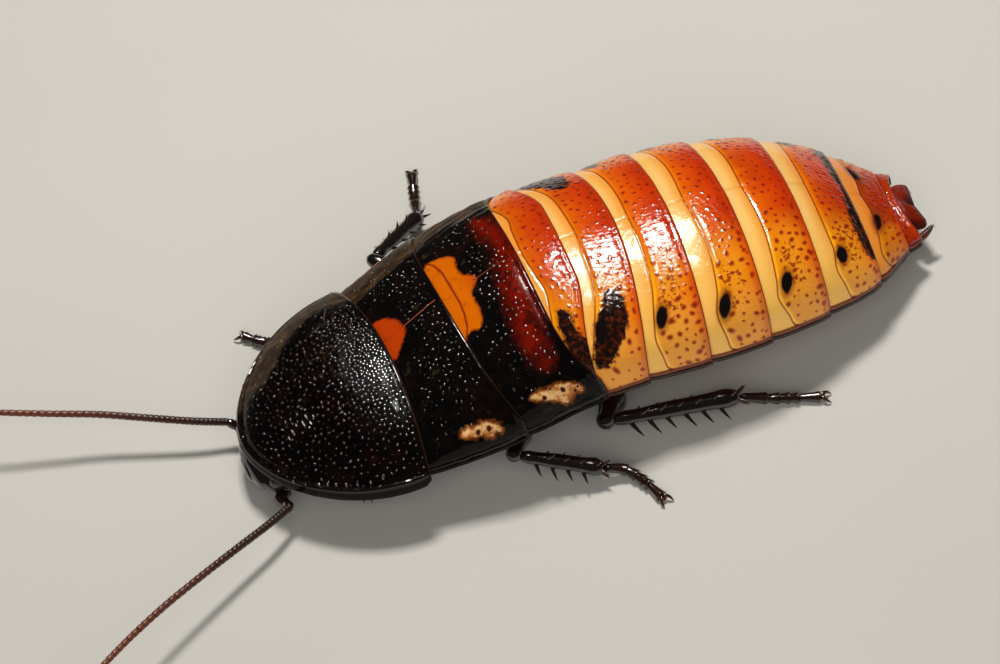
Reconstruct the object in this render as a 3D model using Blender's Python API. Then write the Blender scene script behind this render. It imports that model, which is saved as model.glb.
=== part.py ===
"""Madagascar hissing cockroach: an adult female at life size, standing still on a level floor.

The frame is +X to the head, +Y to the animal's left and +Z up. The origin is on the floor under
the flat of the belly, below the middle of the fourth abdominal segment. Lengths below are in
millimetres, and MM turns them into metres where an object is made.
"""

import math
import random

import bmesh
import bpy
import numpy as np
from mathutils import Matrix, Vector

MM = 0.001
GAP = 0.3  # space kept between two nodes that meet

# x and the body's midline seen from above: a shallow arc, with the head swung to the left.
MIDLINE = (
    (41.6, 2.4),
    (28.6, 1.45),
    (15.0, 0.5),
    (2.0, 0.6),
    (-8.0, 0.6),
    (-18.6, 0.98),
)
MIDLINE_STEP = 0.02  # either side of a place, to read the way that the midline heads there

# x and height of the side margin of the plates.
MARGIN = (
    (41.6, 4.3),
    (28.6, 4.8),
    (15.0, 6.2),
    (2.0, 5.95),
    (-8.0, 4.65),
    (-18.6, 2.75),
)
MARGIN_THICK = 0.55

# One section of the body: an arched back over a shallower belly.
ARCH_POWER = 1.97
ARCH_ROOT = 0.45
BELLY_SHARE = 0.86  # of the half width, where the belly leaves the margin's underside
BELLY_POWER = 2.6
BELLY_ROOT = 0.7
ACROSS = 20  # steps from one side margin to the other

# x, half width and arch height of the trunk, from the front of the mesothorax to the tail.
TRUNK = (
    (28.6, 10.5, 4.0),
    (20.8, 11.5, 6.3),
    (13.9, 11.3, 7.3),
    (8.6, 11.15, 7.0),
    (2.6, 11.2, 7.25),
    (-2.5, 10.65, 7.1),
    (-8.1, 9.35, 6.0),
    (-13.2, 7.15, 3.2),
    (-16.0, 4.8, 1.7),
    (-17.8, 3.7, 1.35),
)
# x and lowest height of the belly, before the floor flattens it below the fourth and fifth segments.
BELLY = (
    (30.0, 3.3),
    (9.0, 3.2),
    (3.4, -0.35),
    (-7.0, -0.35),
    (-12.5, 0.8),
    (-16.0, 1.5),
    (-19.0, 2.0),
)

# Each plate's hind margin: where it meets the side, how far its middle lies ahead of that, and
# how far its corners are drawn back.
PLATES = (
    ("pronotum", 29.0, -1.15, 0.0),
    ("mesothorax", 21.8, 0.55, 1.25),
    ("metathorax", 14.0, 2.0, 1.0),
    ("abdomen_1", 13.75, -1.95, 1.9),
    ("abdomen_2", 8.75, -1.65, 0.0),
    ("abdomen_3", 3.5, -0.8, 0.0),
    ("abdomen_4", -1.65, -0.6, 0.0),
    ("abdomen_5", -7.3, -0.3, 0.0),
    ("abdomen_6", -12.75, 0.1, 0.0),
    ("abdomen_7", -16.2, 0.1, 0.0),
    ("abdomen_8", -17.65, 0.9, 0.0),
)
CORNER_POWER = 6
# Along one plate from front to back: share of its length, lift of the back, spread of the side.
PLATE_PROFILE = ((0.0, -0.25, -0.22), (0.3, -0.08, 0.0), (0.86, 0.18, 0.08), (1.0, 0.02, -0.06))

# The pronotum is a domed shield: its outline, its height and the hollow of its underside.
SHIELD_MIDDLE = 29.6
SHIELD_LENGTH = 11.75
SHIELD_HALF_WIDTH = 11.15
SHIELD_HEIGHT = 4.95
SHIELD_NOSE_POWER = 1.82
SHIELD_SIDE_POWER = 1.78
SHIELD_ROOT = 0.66
SHIELD_FRONT_SOFTNESS = 0.24
SHIELD_HOLLOW = 0.45
SHIELD_TURNS = 26
SHIELD_RINGS = (0.22, 0.42, 0.6, 0.75, 0.87, 0.95, 1.0)

# The head hangs level below the shield, crown to the front and mouth to the back.
HEAD_SIDE = 0.4  # from the body's midline
HEAD_SECTIONS = (
    # x, height of the middle, half width, half thickness
    (41.75, 2.35, 0.9, 0.35),
    (41.45, 2.35, 2.0, 0.85),
    (40.7, 2.35, 3.0, 1.3),
    (39.4, 2.32, 3.5, 1.62),
    (38.0, 2.3, 3.45, 1.7),
    (36.9, 2.15, 2.95, 1.62),
    (36.0, 1.9, 2.35, 1.35),
    (35.2, 1.6, 1.95, 1.05),
    (34.5, 1.35, 1.6, 0.75),
    (34.1, 1.2, 1.1, 0.45),
)
HEAD_SIDES = 20

# The neck and front of the thorax, hidden below the shield.
PROTHORAX_FRONT = 36.4
PROTHORAX_HALF_WIDTHS = (5.2, 5.0, 4.0, 2.6)
PROTHORAX_LOW = (3.3, 3.3, 3.5, 4.15)

EYE_AT = (39.3, 3.05, 2.75)  # along, out from the middle of the head, up
EYE_RADII = (1.25, 0.75, 0.85)

# Each antenna: the first length, then points along the thin lash.
ANTENNA_SCAPE_RADIUS = 0.5
ANTENNA_ROOT_RADIUS = 0.33
ANTENNA_TIP_RADIUS = 0.16
ANTENNA_STEP = 2.2
ANTENNAE = {
    "left": {
        "scape": ((39.95, 6.45, 1.55), (39.55, 7.5, 1.9)),
        "lash": (
            (39.4, 8.3, 2.35),
            (41.4, 9.6, 2.8),
            (44.4, 11.15, 3.2),
            (48.2, 13.15, 3.7),
            (52.2, 15.4, 4.2),
            (57.6, 19.2, 5.0),
            (64.0, 24.6, 5.4),
            (70.6, 31.2, 4.6),
        ),
    },
    "right": {
        "scape": ((40.35, -1.35, 1.5), (40.95, -2.0, 2.0)),
        "lash": (
            (41.5, -2.4, 2.45),
            (43.7, -3.2, 2.8),
            (47.4, -4.9, 3.3),
            (51.2, -6.7, 3.8),
            (55.1, -8.2, 4.3),
            (58.9, -9.7, 4.8),
            (66.0, -13.0, 5.2),
            (74.0, -17.8, 4.4),
        ),
    },
}

PALP_POINTS = ((35.4, 2.3, 1.0), (36.5, 2.95, 0.75), (37.8, 3.05, 0.65))
PALP_RADIUS = 0.3

# Each leg: root and tip of the coxa, knee, ankle, then the foot's points down to the claws.
LEGS = {
    "left_front": {
        "coxa": ((31.2, 4.2, 1.75), (29.0, 6.5, 1.6)),
        "knee": (30.2, 9.6, 2.8),
        "ankle": (33.5, 8.1, 1.3),
        "foot": ((34.5, 7.4, 0.6), (36.1, 6.4, 0.35)),
        "size": 0.82,
        "spines": 2,
    },
    "left_middle": {
        "coxa": ((22.6, 3.9, 1.75), (18.8, 6.9, 1.6)),
        "knee": (21.2, 12.1, 3.5),
        "ankle": (15.1, 14.6, 1.5),
        "foot": ((13.1, 15.2, 0.8), (12.1, 16.6, 0.5), (11.3, 18.7, 0.35)),
        "size": 0.9,
        "spines": 3,
    },
    "left_hind": {
        "coxa": ((14.6, 3.6, 1.75), (10.4, 6.6, 1.5)),
        "knee": (13.2, 11.6, 3.0),
        "ankle": (2.5, 12.5, 1.5),
        "foot": ((-0.6, 13.3, 0.6), (-4.1, 14.6, 0.35)),
        "size": 1.0,
        "spines": 5,
    },
    "right_front": {
        "coxa": ((31.2, -1.1, 1.75), (29.2, -4.2, 1.6)),
        "knee": (30.6, -9.0, 2.8),
        "ankle": (34.6, -9.8, 1.3),
        "foot": ((35.8, -10.9, 0.6), (37.4, -12.6, 0.35)),
        "size": 0.82,
        "spines": 2,
    },
    "right_middle": {
        "coxa": ((22.6, -2.0, 1.75), (19.6, -6.2, 1.6)),
        "knee": (25.2, -13.3, 3.5),
        "ankle": (19.9, -18.0, 1.5),
        "foot": ((19.3, -21.0, 0.6), (18.6, -24.0, 0.35)),
        "size": 0.9,
        "spines": 3,
    },
    "right_hind": {
        "coxa": ((14.6, -2.8, 1.75), (10.6, -6.4, 1.5)),
        "knee": (12.3, -13.0, 3.2),
        "ankle": (2.6, -13.9, 1.5),
        "foot": ((-0.8, -14.4, 0.6), (-4.2, -15.4, 0.35)),
        "size": 1.0,
        "spines": 5,
    },
}
COXA_RADII = (1.75, 1.95, 1.5, 0.95)
COXA_FLATNESS = 0.66
FEMUR_RADII = (0.8, 1.15, 1.1, 0.85, 0.72)
TIBIA_RADII = (0.46, 0.56, 0.54, 0.58)
FOOT_RADIUS = 0.42
FOOT_SEGMENTS = 5
CLAW_LENGTH = 1.0
CLAW_SPREAD = 38  # degrees to each side
SPINE_RADIUS = 0.27
SPINE_LENGTH = 1.9
# Rows of spines on a tibia: how far each leans out, up and along, and its share of the length.
SPINE_ROWS = ((1.0, -0.45, 0.6, 1.0), (-1.0, -0.1, 0.75, 0.7), (0.3, 1.0, 0.75, 0.7))
# Spurs round the tibia's end: how far each leans out and up.
SPURS = ((0.9, 0.2), (-0.9, 0.2), (0.5, -0.45), (-0.3, 0.9))
SPUR_LENGTH = 1.5
LIMB_SIDES = 8

# The plate over the tail's end: share of its length, half width and rise.
TAIL_ROWS = ((0.0, 2.25, 1.3), (0.35, 2.4, 1.1), (0.7, 2.4, 0.8), (0.9, 2.25, 0.5), (1.0, 2.0, 0.3))
TAIL_SIDE = -0.2  # from the body's midline
TAIL_LENGTH = 1.5
TAIL_NOTCH = 0.55
TAIL_NOTCH_HALF_WIDTH = 0.5
TAIL_ROOT_HALF_WIDTH = 3.75
TAIL_LIFT = 0.2
TAIL_THICK = 0.5
CERCI = {
    "left": ((-17.8, 3.75, 2.2), (-18.1, 3.65, 2.3), (-18.5, 3.55, 2.5), (-19.0, 3.4, 2.85)),
    "right": ((-17.75, -1.95, 2.1), (-18.1, -1.85, 2.1), (-18.5, -1.75, 2.05), (-19.0, -1.6, 2.0)),
}
CERCUS_RADII = (0.34, 0.36, 0.26, 0.08)

COLOURS = {
    "shell_black": ((0.012, 0.010, 0.009), 0.25),
    "shell_amber": ((0.62, 0.17, 0.02), 0.2),
    "leg_black": ((0.015, 0.009, 0.007), 0.22),
    "antenna_brown": ((0.10, 0.03, 0.012), 0.35),
    "eye_black": ((0.01, 0.008, 0.008), 0.15),
    "tail_red": ((0.30, 0.035, 0.012), 0.22),
}


def clear_scene():
    for obj in list(bpy.data.objects):
        bpy.data.objects.remove(obj, do_unlink=True)


def new_collection(name, shown=True):
    collection = bpy.data.collections.new(name)
    bpy.context.scene.collection.children.link(collection)
    collection.hide_render = not shown
    return collection


def make_materials():
    made = {}
    for name, (colour, roughness) in COLOURS.items():
        material = bpy.data.materials.new(name)
        material.use_nodes = True
        shader = material.node_tree.nodes["Principled BSDF"]
        shader.inputs["Base Color"].default_value = (*colour, 1)
        shader.inputs["Roughness"].default_value = roughness
        shader.inputs["Metallic"].default_value = 0
        made[name] = material
    return made


def smooth_at(x, knots, column=1):
    """A smooth curve through a column of the knots, read at x."""
    xs = [knot[0] for knot in knots]
    values = [knot[column] for knot in knots]
    if xs[0] > xs[-1]:
        xs.reverse()
        values.reverse()
    slopes = np.gradient(np.array(values), np.array(xs))
    x = min(max(x, xs[0]), xs[-1])
    i = min(max(int(np.searchsorted(xs, x)) - 1, 0), len(xs) - 2)
    step = xs[i + 1] - xs[i]
    u = (x - xs[i]) / step
    ends = (2 * u**3 - 3 * u**2 + 1) * values[i] + (3 * u**2 - 2 * u**3) * values[i + 1]
    turns = (u**3 - 2 * u**2 + u) * slopes[i] + (u**3 - u**2) * slopes[i + 1]
    return float(ends + turns * step)


def place(x, across, z):
    """A point given by its place along the body and out from the midline, in the part's frame."""
    before = smooth_at(x - MIDLINE_STEP, MIDLINE)
    after = smooth_at(x + MIDLINE_STEP, MIDLINE)
    heading = math.atan((after - before) / (2 * MIDLINE_STEP))
    middle = (before + after) / 2
    return Vector((x - across * math.sin(heading), middle + across * math.cos(heading), z))


def margin_height(x):
    return smooth_at(x, MARGIN)


def arch(t):
    return max(0.0, 1 - abs(t) ** ARCH_POWER) ** ARCH_ROOT


def belly_height(x):
    xs = [knot[0] for knot in reversed(BELLY)]
    values = [knot[1] for knot in reversed(BELLY)]
    return float(np.interp(x, xs, values))


def belly(x, t):
    low = margin_height(x) - MARGIN_THICK
    share = min(1.0, abs(t) / BELLY_SHARE)
    return max(0.0, low - (low - belly_height(x)) * (1 - share**BELLY_POWER) ** BELLY_ROOT)


def shares_across(steps=ACROSS):
    """From one side margin to the other, closer together near the margins."""
    return [math.sin(math.pi * (i / steps - 0.5)) for i in range(steps + 1)]


def solid(name, points, faces, material, collection):
    """One closed mesh object from points in millimetres, with its faces turned outwards."""
    mesh = bpy.data.meshes.new(name)
    mesh.from_pydata([Vector(point) * MM for point in points], [], faces)
    made = bmesh.new()
    made.from_mesh(mesh)
    bmesh.ops.recalc_face_normals(made, faces=made.faces)
    made.to_mesh(mesh)
    made.free()
    mesh.materials.append(material)
    mesh.shade_smooth()
    mesh.set_sharp_from_angle(angle=math.radians(40))
    obj = bpy.data.objects.new(name, mesh)
    collection.objects.link(obj)
    return obj


def slab(name, rows, material, collection):
    """A solid from rows of (upper, lower) points: each row runs across, the rows run along."""
    points = []
    for row in rows:
        points += [upper for upper, _ in row]
        points += [lower for _, lower in row]
    wide = len(rows[0])
    faces = []
    for k in range(len(rows) - 1):
        here = 2 * wide * k
        there = here + 2 * wide
        for i in range(wide - 1):
            faces.append((here + i, here + i + 1, there + i + 1, there + i))
            faces.append((here + wide + i, there + wide + i, there + wide + i + 1, here + wide + i + 1))
        faces.append((here, there, there + wide, here + wide))
        last = wide - 1
        faces.append((here + last, here + wide + last, there + wide + last, there + last))
    for start in (0, 2 * wide * (len(rows) - 1)):
        for i in range(wide - 1):
            faces.append((start + i, start + wide + i, start + wide + i + 1, start + i + 1))
    return solid(name, points, faces, material, collection)


def margin_line(index, t):
    """Where along the body the hind margin of a plate lies, out at the share t of the half width."""
    _, side, bow, corner = PLATES[index]
    return side + bow * (1 - t * t) - corner * abs(t) ** CORNER_POWER


def make_trunk(materials, collection):
    """The ring of each segment behind the pronotum, each with its back plate and its belly."""
    for index in range(1, len(PLATES)):
        name = PLATES[index][0]
        rows = []
        for share, lift, spread in PLATE_PROFILE:
            row = []
            for t in shares_across():
                front = margin_line(index - 1, t) - GAP / 2
                rear = margin_line(index, t) + GAP / 2
                x = front + (rear - front) * share
                half = smooth_at(x, TRUNK) + spread
                back = margin_height(x) + smooth_at(x, TRUNK, 2) * arch(t) + lift * arch(t)
                row.append((place(x, half * t, back), place(x, half * t, belly(x, t))))
            rows.append(row)
        dark = "thorax" in name
        red = name == "abdomen_8"
        material = materials["shell_black" if dark else "tail_red" if red else "shell_amber"]
        slab(name, rows, material, collection)


def shield_rise(x, across):
    """Height of the pronotum's back above its side margin, 0 at its outline."""
    ahead = max(0.0, (x - SHIELD_MIDDLE) / SHIELD_LENGTH)
    side = abs(across) / SHIELD_HALF_WIDTH
    reach = ahead**SHIELD_NOSE_POWER + side**SHIELD_SIDE_POWER
    frontal = ahead**2 / (ahead**2 + side**2 + 1e-9)
    root = SHIELD_ROOT + SHIELD_FRONT_SOFTNESS * frontal
    rise = max(0.0, 1 - reach ** (ARCH_POWER / SHIELD_SIDE_POWER)) ** root
    behind = max(0.0, SHIELD_MIDDLE - x)
    return (SHIELD_HEIGHT - 0.12 * behind) * rise


def shield_pair(x, across):
    """The upper and lower point of the pronotum at one place."""
    rise = shield_rise(x, across)
    low = margin_height(x) - MARGIN_THICK + SHIELD_HOLLOW * rise
    return place(x, across, margin_height(x) + rise), place(x, across, low)


def shield_outline(turn):
    """A point of the front outline, where turn goes from -90 degrees on the right to 90."""
    ahead = max(0.0, math.cos(turn)) ** (2 / SHIELD_NOSE_POWER)
    side = math.copysign(abs(math.sin(turn)) ** (2 / SHIELD_SIDE_POWER), turn)
    return SHIELD_LENGTH * ahead, SHIELD_HALF_WIDTH * side


def make_pronotum(material, collection):
    """Rings that grow from the crest of the shield to its rim, with a strip back to its margin."""
    turns = [math.pi * (i / SHIELD_TURNS - 0.5) for i in range(SHIELD_TURNS + 1)]
    pairs = [shield_pair(SHIELD_MIDDLE, 0.0)]
    for ring in SHIELD_RINGS:
        for turn in turns:
            ahead, side = shield_outline(turn)
            pairs.append(shield_pair(SHIELD_MIDDLE + ring * ahead, ring * side))
    wide = len(turns)
    across = [-ring for ring in reversed(SHIELD_RINGS)] + [0.0] + list(SHIELD_RINGS)
    rear_start = len(pairs)
    for share in across:
        x = margin_line(0, share) + GAP / 2
        pairs.append(shield_pair(x, SHIELD_HALF_WIDTH * share * 0.995))
    rings = len(SHIELD_RINGS)

    def at(ring, i):
        return 1 + ring * wide + i

    sheet = [(0, at(0, i), at(0, i + 1)) for i in range(wide - 1)]
    for ring in range(rings - 1):
        for i in range(wide - 1):
            sheet.append((at(ring, i), at(ring + 1, i), at(ring + 1, i + 1), at(ring, i + 1)))
    crest = [at(ring, 0) for ring in reversed(range(rings))] + [0]
    crest += [at(ring, wide - 1) for ring in range(rings)]
    rear = [rear_start + i for i in range(len(across))]
    for i in range(len(across) - 1):
        sheet.append((rear[i], crest[i], crest[i + 1], rear[i + 1]))
    rim = [at(rings - 1, i) for i in range(wide)]
    loop = rim + rear[::-1]
    points = [upper for upper, _ in pairs] + [lower for _, lower in pairs]
    under = len(pairs)
    faces = list(sheet)
    faces += [tuple(under + i for i in reversed(face)) for face in sheet]
    for a, b in zip(loop, loop[1:] + loop[:1]):
        faces.append((a, b, under + b, under + a))
    solid("pronotum", points, faces, material, collection)


def make_prothorax(material, collection):
    """The block under the shield that carries the neck and the front legs."""
    rows = []
    steps = len(PROTHORAX_HALF_WIDTHS)
    for k in range(steps):
        row = []
        for t in shares_across(8):
            rear = margin_line(0, t * 0.45) + GAP / 2
            x = rear + (PROTHORAX_FRONT - rear) * k / (steps - 1)
            side = PROTHORAX_HALF_WIDTHS[k] * t
            _, roof = shield_pair(x, side)
            floor = PROTHORAX_LOW[k]
            top = max(roof.z - GAP - 0.05, floor + 0.5)
            row.append((place(x, side, top), place(x, side, floor)))
        rows.append(row)
    slab("prothorax", rows, material, collection)


def ring_points(centre, side, up, half_side, half_up, sides):
    turns = [2 * math.pi * i / sides for i in range(sides)]
    return [centre + side * (half_side * math.cos(a)) + up * (half_up * math.sin(a)) for a in turns]


def skin_rings(rings):
    """Faces of a closed tube through rings of equal count, with a fan on each end."""
    sides = len(rings[0])
    points = [point for ring in rings for point in ring]
    faces = []
    for k in range(len(rings) - 1):
        for i in range(sides):
            j = (i + 1) % sides
            faces.append((k * sides + i, k * sides + j, (k + 1) * sides + j, (k + 1) * sides + i))
    for k in (0, len(rings) - 1):
        hub = len(points)
        points.append(sum(rings[k], Vector()) / sides)
        for i in range(sides):
            faces.append((hub, k * sides + i, k * sides + (i + 1) % sides))
    return points, faces


def make_head(material, collection):
    rings = []
    for x, z, half, thick in HEAD_SECTIONS:
        centre = place(x, HEAD_SIDE, z)
        side = (place(x, 1.0, z) - place(x, 0.0, z)).normalized()
        rings.append(ring_points(centre, side, Vector((0, 0, 1)), half, thick, HEAD_SIDES))
    points, faces = skin_rings(rings)
    return solid("head", points, faces, material, collection)


def ellipsoid(name, centre, radii, material, collection, segments=14):
    made = bmesh.new()
    bmesh.ops.create_uvsphere(made, u_segments=segments, v_segments=segments // 2, radius=1.0)
    size = Matrix.Diagonal((*(Vector(radii) * MM), 1))
    bmesh.ops.transform(made, matrix=Matrix.Translation(Vector(centre) * MM) @ size, verts=made.verts)
    mesh = bpy.data.meshes.new(name)
    made.to_mesh(mesh)
    made.free()
    mesh.materials.append(material)
    mesh.shade_smooth()
    obj = bpy.data.objects.new(name, mesh)
    collection.objects.link(obj)
    return obj


def make_eyes(material, cutters, collection):
    """Two eyes, and the two larger shapes that cut their sockets."""
    sockets = []
    along, out, up = EYE_AT
    for name, side in (("left", 1), ("right", -1)):
        centre = place(along, HEAD_SIDE + side * out, up)
        ellipsoid("eye_" + name, centre, EYE_RADII, material, collection)
        grown = [radius + GAP for radius in EYE_RADII]
        sockets.append(ellipsoid("socket_" + name, centre, grown, material, cutters))
    return sockets


def cut(obj, cutter):
    step = obj.modifiers.new("cut_" + cutter.name, "BOOLEAN")
    step.operation = "DIFFERENCE"
    step.solver = "EXACT"
    step.object = cutter
    cutter.display_type = "WIRE"
    cutter.hide_render = True


def walk(points, step):
    """Points along a smooth curve through the given points, about one step apart."""
    knots = [Vector(point) for point in points]
    lengths = [0.0]
    for a, b in zip(knots, knots[1:]):
        lengths.append(lengths[-1] + (b - a).length)
    count = max(2, round(lengths[-1] / step))
    columns = [[(s, knot[axis]) for s, knot in zip(lengths, knots)] for axis in range(3)]
    found = []
    for i in range(count + 1):
        s = lengths[-1] * i / count
        found.append(Vector([smooth_at(s, column) for column in columns]))
    return found


def wire(name, points, radii, material, collection):
    """A round tube that tapers along its points."""
    curve = bpy.data.curves.new(name, "CURVE")
    curve.dimensions = "3D"
    curve.bevel_depth = radii[0] * MM
    curve.bevel_resolution = 2
    curve.use_fill_caps = True
    spline = curve.splines.new("POLY")
    spline.points.add(len(points) - 1)
    for point, place_mm, radius in zip(spline.points, points, radii):
        point.co = (*(Vector(place_mm) * MM), 1)
        point.radius = radius / radii[0]
    curve.materials.append(material)
    obj = bpy.data.objects.new(name, curve)
    collection.objects.link(obj)
    return obj


def make_antennae(materials, collection):
    """Each antenna is a thick first length and a lash in two lengths."""
    for name, shape in ANTENNAE.items():
        root, tip = shape["scape"]
        scape = [Vector(root).lerp(Vector(tip), share) for share in (0, 0.3, 0.7, 1)]
        swell = [ANTENNA_SCAPE_RADIUS * share for share in (0.8, 1, 1, 0.75)]
        wire(f"antenna_{name}_scape", scape, swell, materials["leg_black"], collection)
        lash = walk(shape["lash"], ANTENNA_STEP)
        count = len(lash)
        radii = []
        for i in range(count):
            share = i / (count - 1)
            radii.append(ANTENNA_ROOT_RADIUS + (ANTENNA_TIP_RADIUS - ANTENNA_ROOT_RADIUS) * share**1.5)
        half = count // 2
        inner = lash[: half + 1]
        outer = [lash[half] + (lash[half + 1] - lash[half]).normalized() * GAP] + lash[half + 1 :]
        brown = materials["antenna_brown"]
        wire(f"antenna_{name}_inner", inner, radii[: half + 1], brown, collection)
        wire(f"antenna_{name}_outer", outer, radii[half:], brown, collection)


def make_palps(material, collection):
    for name, side in (("left", 1), ("right", -1)):
        route = [place(x, HEAD_SIDE + side * out, z) for x, out, z in PALP_POINTS]
        route = walk(route, 0.8)
        swell = [PALP_RADIUS * (0.85 + 0.25 * (i / (len(route) - 1))) for i in range(len(route))]
        wire("palp_" + name, route, swell, material, collection)


def limb_rings(points, radii, flatness=1.0, sides=LIMB_SIDES, round_start=False, round_end=False):
    """Rings along a limb, with a rounded end where asked. Flatness is height over width."""
    points = [Vector(point) for point in points]
    radii = list(radii)
    if round_end:
        ahead = (points[-1] - points[-2]).normalized()
        r = radii[-1]
        points += [points[-1] + ahead * r * 0.6, points[-1] + ahead * r * 0.95]
        radii += [r * 0.8, r * 0.35]
    if round_start:
        back = (points[0] - points[1]).normalized()
        r = radii[0]
        points = [points[0] + back * r * 0.95, points[0] + back * r * 0.6] + points
        radii = [r * 0.35, r * 0.8] + radii
    rings = []
    for i, centre in enumerate(points):
        before = points[max(i - 1, 0)]
        after = points[min(i + 1, len(points) - 1)]
        ahead = (after - before).normalized()
        side = ahead.cross(Vector((0, 0, 1))).normalized()
        up = side.cross(ahead).normalized()
        rings.append(ring_points(centre, side, up, radii[i], radii[i] * flatness, sides))
    return rings


def limb(name, points, radii, material, collection, **shape):
    """A limb's length as a closed solid that goes no lower than the floor."""
    found, faces = skin_rings(limb_rings(points, radii, **shape))
    for point in found:
        point.z = max(point.z, 0.0)
    return solid(name, found, faces, material, collection)


def spread(root, tip, radii):
    """As many points from root to tip as there are radii."""
    steps = len(radii) - 1
    return [Vector(root).lerp(Vector(tip), i / steps) for i in range(len(radii))]


def thorn(name, root, ahead, length, radius, material, collection):
    """A straight tapered spine with its foot at the root."""
    made = bmesh.new()
    bmesh.ops.create_cone(
        made, cap_ends=True, segments=5, radius1=radius * MM, radius2=0.04 * MM, depth=length * MM
    )
    turn = Vector((0, 0, 1)).rotation_difference(ahead).to_matrix().to_4x4()
    middle = (Vector(root) + ahead * (length / 2)) * MM
    bmesh.ops.transform(made, matrix=Matrix.Translation(middle) @ turn, verts=made.verts)
    mesh = bpy.data.meshes.new(name)
    made.to_mesh(mesh)
    made.free()
    mesh.materials.append(material)
    obj = bpy.data.objects.new(name, mesh)
    collection.objects.link(obj)
    return obj


def largest_body(obj):
    """Keeps only the largest closed surface of a mesh."""
    made = bmesh.new()
    made.from_mesh(obj.data)
    left = set(made.verts)
    groups = []
    while left:
        queue = [left.pop()]
        group = set(queue)
        while queue:
            for edge in queue.pop().link_edges:
                for vertex in edge.verts:
                    if vertex in left:
                        left.discard(vertex)
                        group.add(vertex)
                        queue.append(vertex)
        groups.append(group)
    groups.sort(key=len)
    loose = [vertex for group in groups[:-1] for vertex in group]
    bmesh.ops.delete(made, geom=loose, context="VERTS")
    made.to_mesh(obj.data)
    made.free()


def fuse(obj, pieces):
    """Joins the pieces of a collection to an object as one closed body."""
    step = obj.modifiers.new("fuse", "BOOLEAN")
    step.operation = "UNION"
    step.operand_type = "COLLECTION"
    step.solver = "EXACT"
    step.collection = pieces
    bpy.context.view_layer.update()
    graph = bpy.context.evaluated_depsgraph_get()
    mesh = bpy.data.meshes.new_from_object(obj.evaluated_get(graph))
    obj.modifiers.remove(step)
    obj.data = mesh
    for piece in list(pieces.objects):
        bpy.data.objects.remove(piece, do_unlink=True)
    bpy.data.collections.remove(pieces)
    largest_body(obj)


def make_legs(materials, collection):
    """Six legs, each in four lengths: coxa, femur, tibia and foot with its claws."""
    black = materials["leg_black"]
    for name, leg in LEGS.items():
        size = leg["size"]
        root, tip = leg["coxa"]
        coxa_radii = [radius * size for radius in COXA_RADII]
        path = spread(root, tip, coxa_radii)
        limb(f"leg_{name}_coxa", path, coxa_radii, black, collection,
             flatness=COXA_FLATNESS, round_start=True, round_end=True)

        knee = Vector(leg["knee"])
        ankle = Vector(leg["ankle"])
        thigh_way = (knee - Vector(tip)).normalized()
        femur_radii = [radius * size for radius in FEMUR_RADII]
        thigh_root = Vector(tip) + thigh_way * (coxa_radii[-1] + GAP)
        path = spread(thigh_root, knee, femur_radii)
        limb(f"leg_{name}_femur", path, femur_radii, black, collection, round_end=True)

        shin_way = (ankle - knee).normalized()
        tibia_radii = [radius * size for radius in TIBIA_RADII]
        shin_root = knee + shin_way * (femur_radii[-1] + GAP)
        path = spread(shin_root, ankle, tibia_radii)
        tibia = limb(f"leg_{name}_tibia", path, tibia_radii, black, collection, round_end=True)
        add_thorns(tibia, name, shin_root, ankle, leg, black)

        foot_points = [Vector(point) for point in leg["foot"]]
        foot_way = (foot_points[0] - ankle).normalized()
        foot_root = ankle + foot_way * (tibia_radii[-1] + GAP)
        make_foot(name, [foot_root] + foot_points, size, black, collection)


def add_thorns(tibia, name, root, ankle, leg, material):
    """Rows of spines down both sides of a tibia, and a ring of spurs round its end."""
    pieces = new_collection(f"thorns_{name}")
    ahead = (ankle - root).normalized()
    side = ahead.cross(Vector((0, 0, 1))).normalized()
    up = side.cross(ahead).normalized()
    rng = random.Random(len(name) + leg["spines"])
    count = leg["spines"]
    size = leg["size"]
    outward = 1 if (side.y > 0) == (root.y > 0) else -1
    for row, (out, rise, along, long) in enumerate(SPINE_ROWS):
        for i in range(count):
            share = (i + 0.55 + 0.3 * row) / (count + 0.7)
            if share > 0.93:
                continue
            base = root.lerp(ankle, share)
            lean = ahead * along + side * (out * outward + rng.uniform(-0.1, 0.1)) + up * rise
            length = SPINE_LENGTH * long * size * rng.uniform(0.9, 1.1)
            thorn(f"thorn_{row}_{i}", base, lean.normalized(), length, SPINE_RADIUS * size, material, pieces)
    for k, (out, rise) in enumerate(SPURS):
        lean = (ahead * 1.1 + side * out * outward + up * rise).normalized()
        base = ankle - ahead * 0.25
        thorn(f"spur_{k}", base, lean, SPUR_LENGTH * size, SPINE_RADIUS * size, material, pieces)
    fuse(tibia, pieces)


def make_foot(name, points, size, material, collection):
    """A foot of five short lengths that swell towards their ends, with two claws and a pad."""
    route = walk(points, 0.45)
    count = len(route)
    radii = []
    for i in range(count):
        beat = (i / (count - 1) * FOOT_SEGMENTS) % 1.0
        radii.append(FOOT_RADIUS * (0.8 + 0.28 * beat))
    foot = limb(f"leg_{name}_foot", route, radii, material, collection, sides=6, round_end=True)
    pieces = new_collection(f"claws_{name}")
    ahead = (route[-1] - route[-2]).normalized()
    ahead.z = 0
    ahead.normalize()
    for turn in (-1, 1):
        way = Matrix.Rotation(math.radians(turn * CLAW_SPREAD), 3, "Z") @ ahead
        inward = Matrix.Rotation(math.radians(-turn * 12), 3, "Z") @ ahead
        base = route[-1]
        bend = base + way * CLAW_LENGTH * 0.7
        tip = bend + inward * CLAW_LENGTH * 0.5
        claw = [base, base.lerp(bend, 0.5), bend, tip]
        for point, height in zip(claw, (0.4, 0.5, 0.42, 0.12)):
            point.z = height
        radius = [share * size for share in (0.24, 0.24, 0.2, 0.06)]
        limb(f"claw_{turn}", claw, radius, material, pieces, sides=5)
    fuse(foot, pieces)


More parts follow.
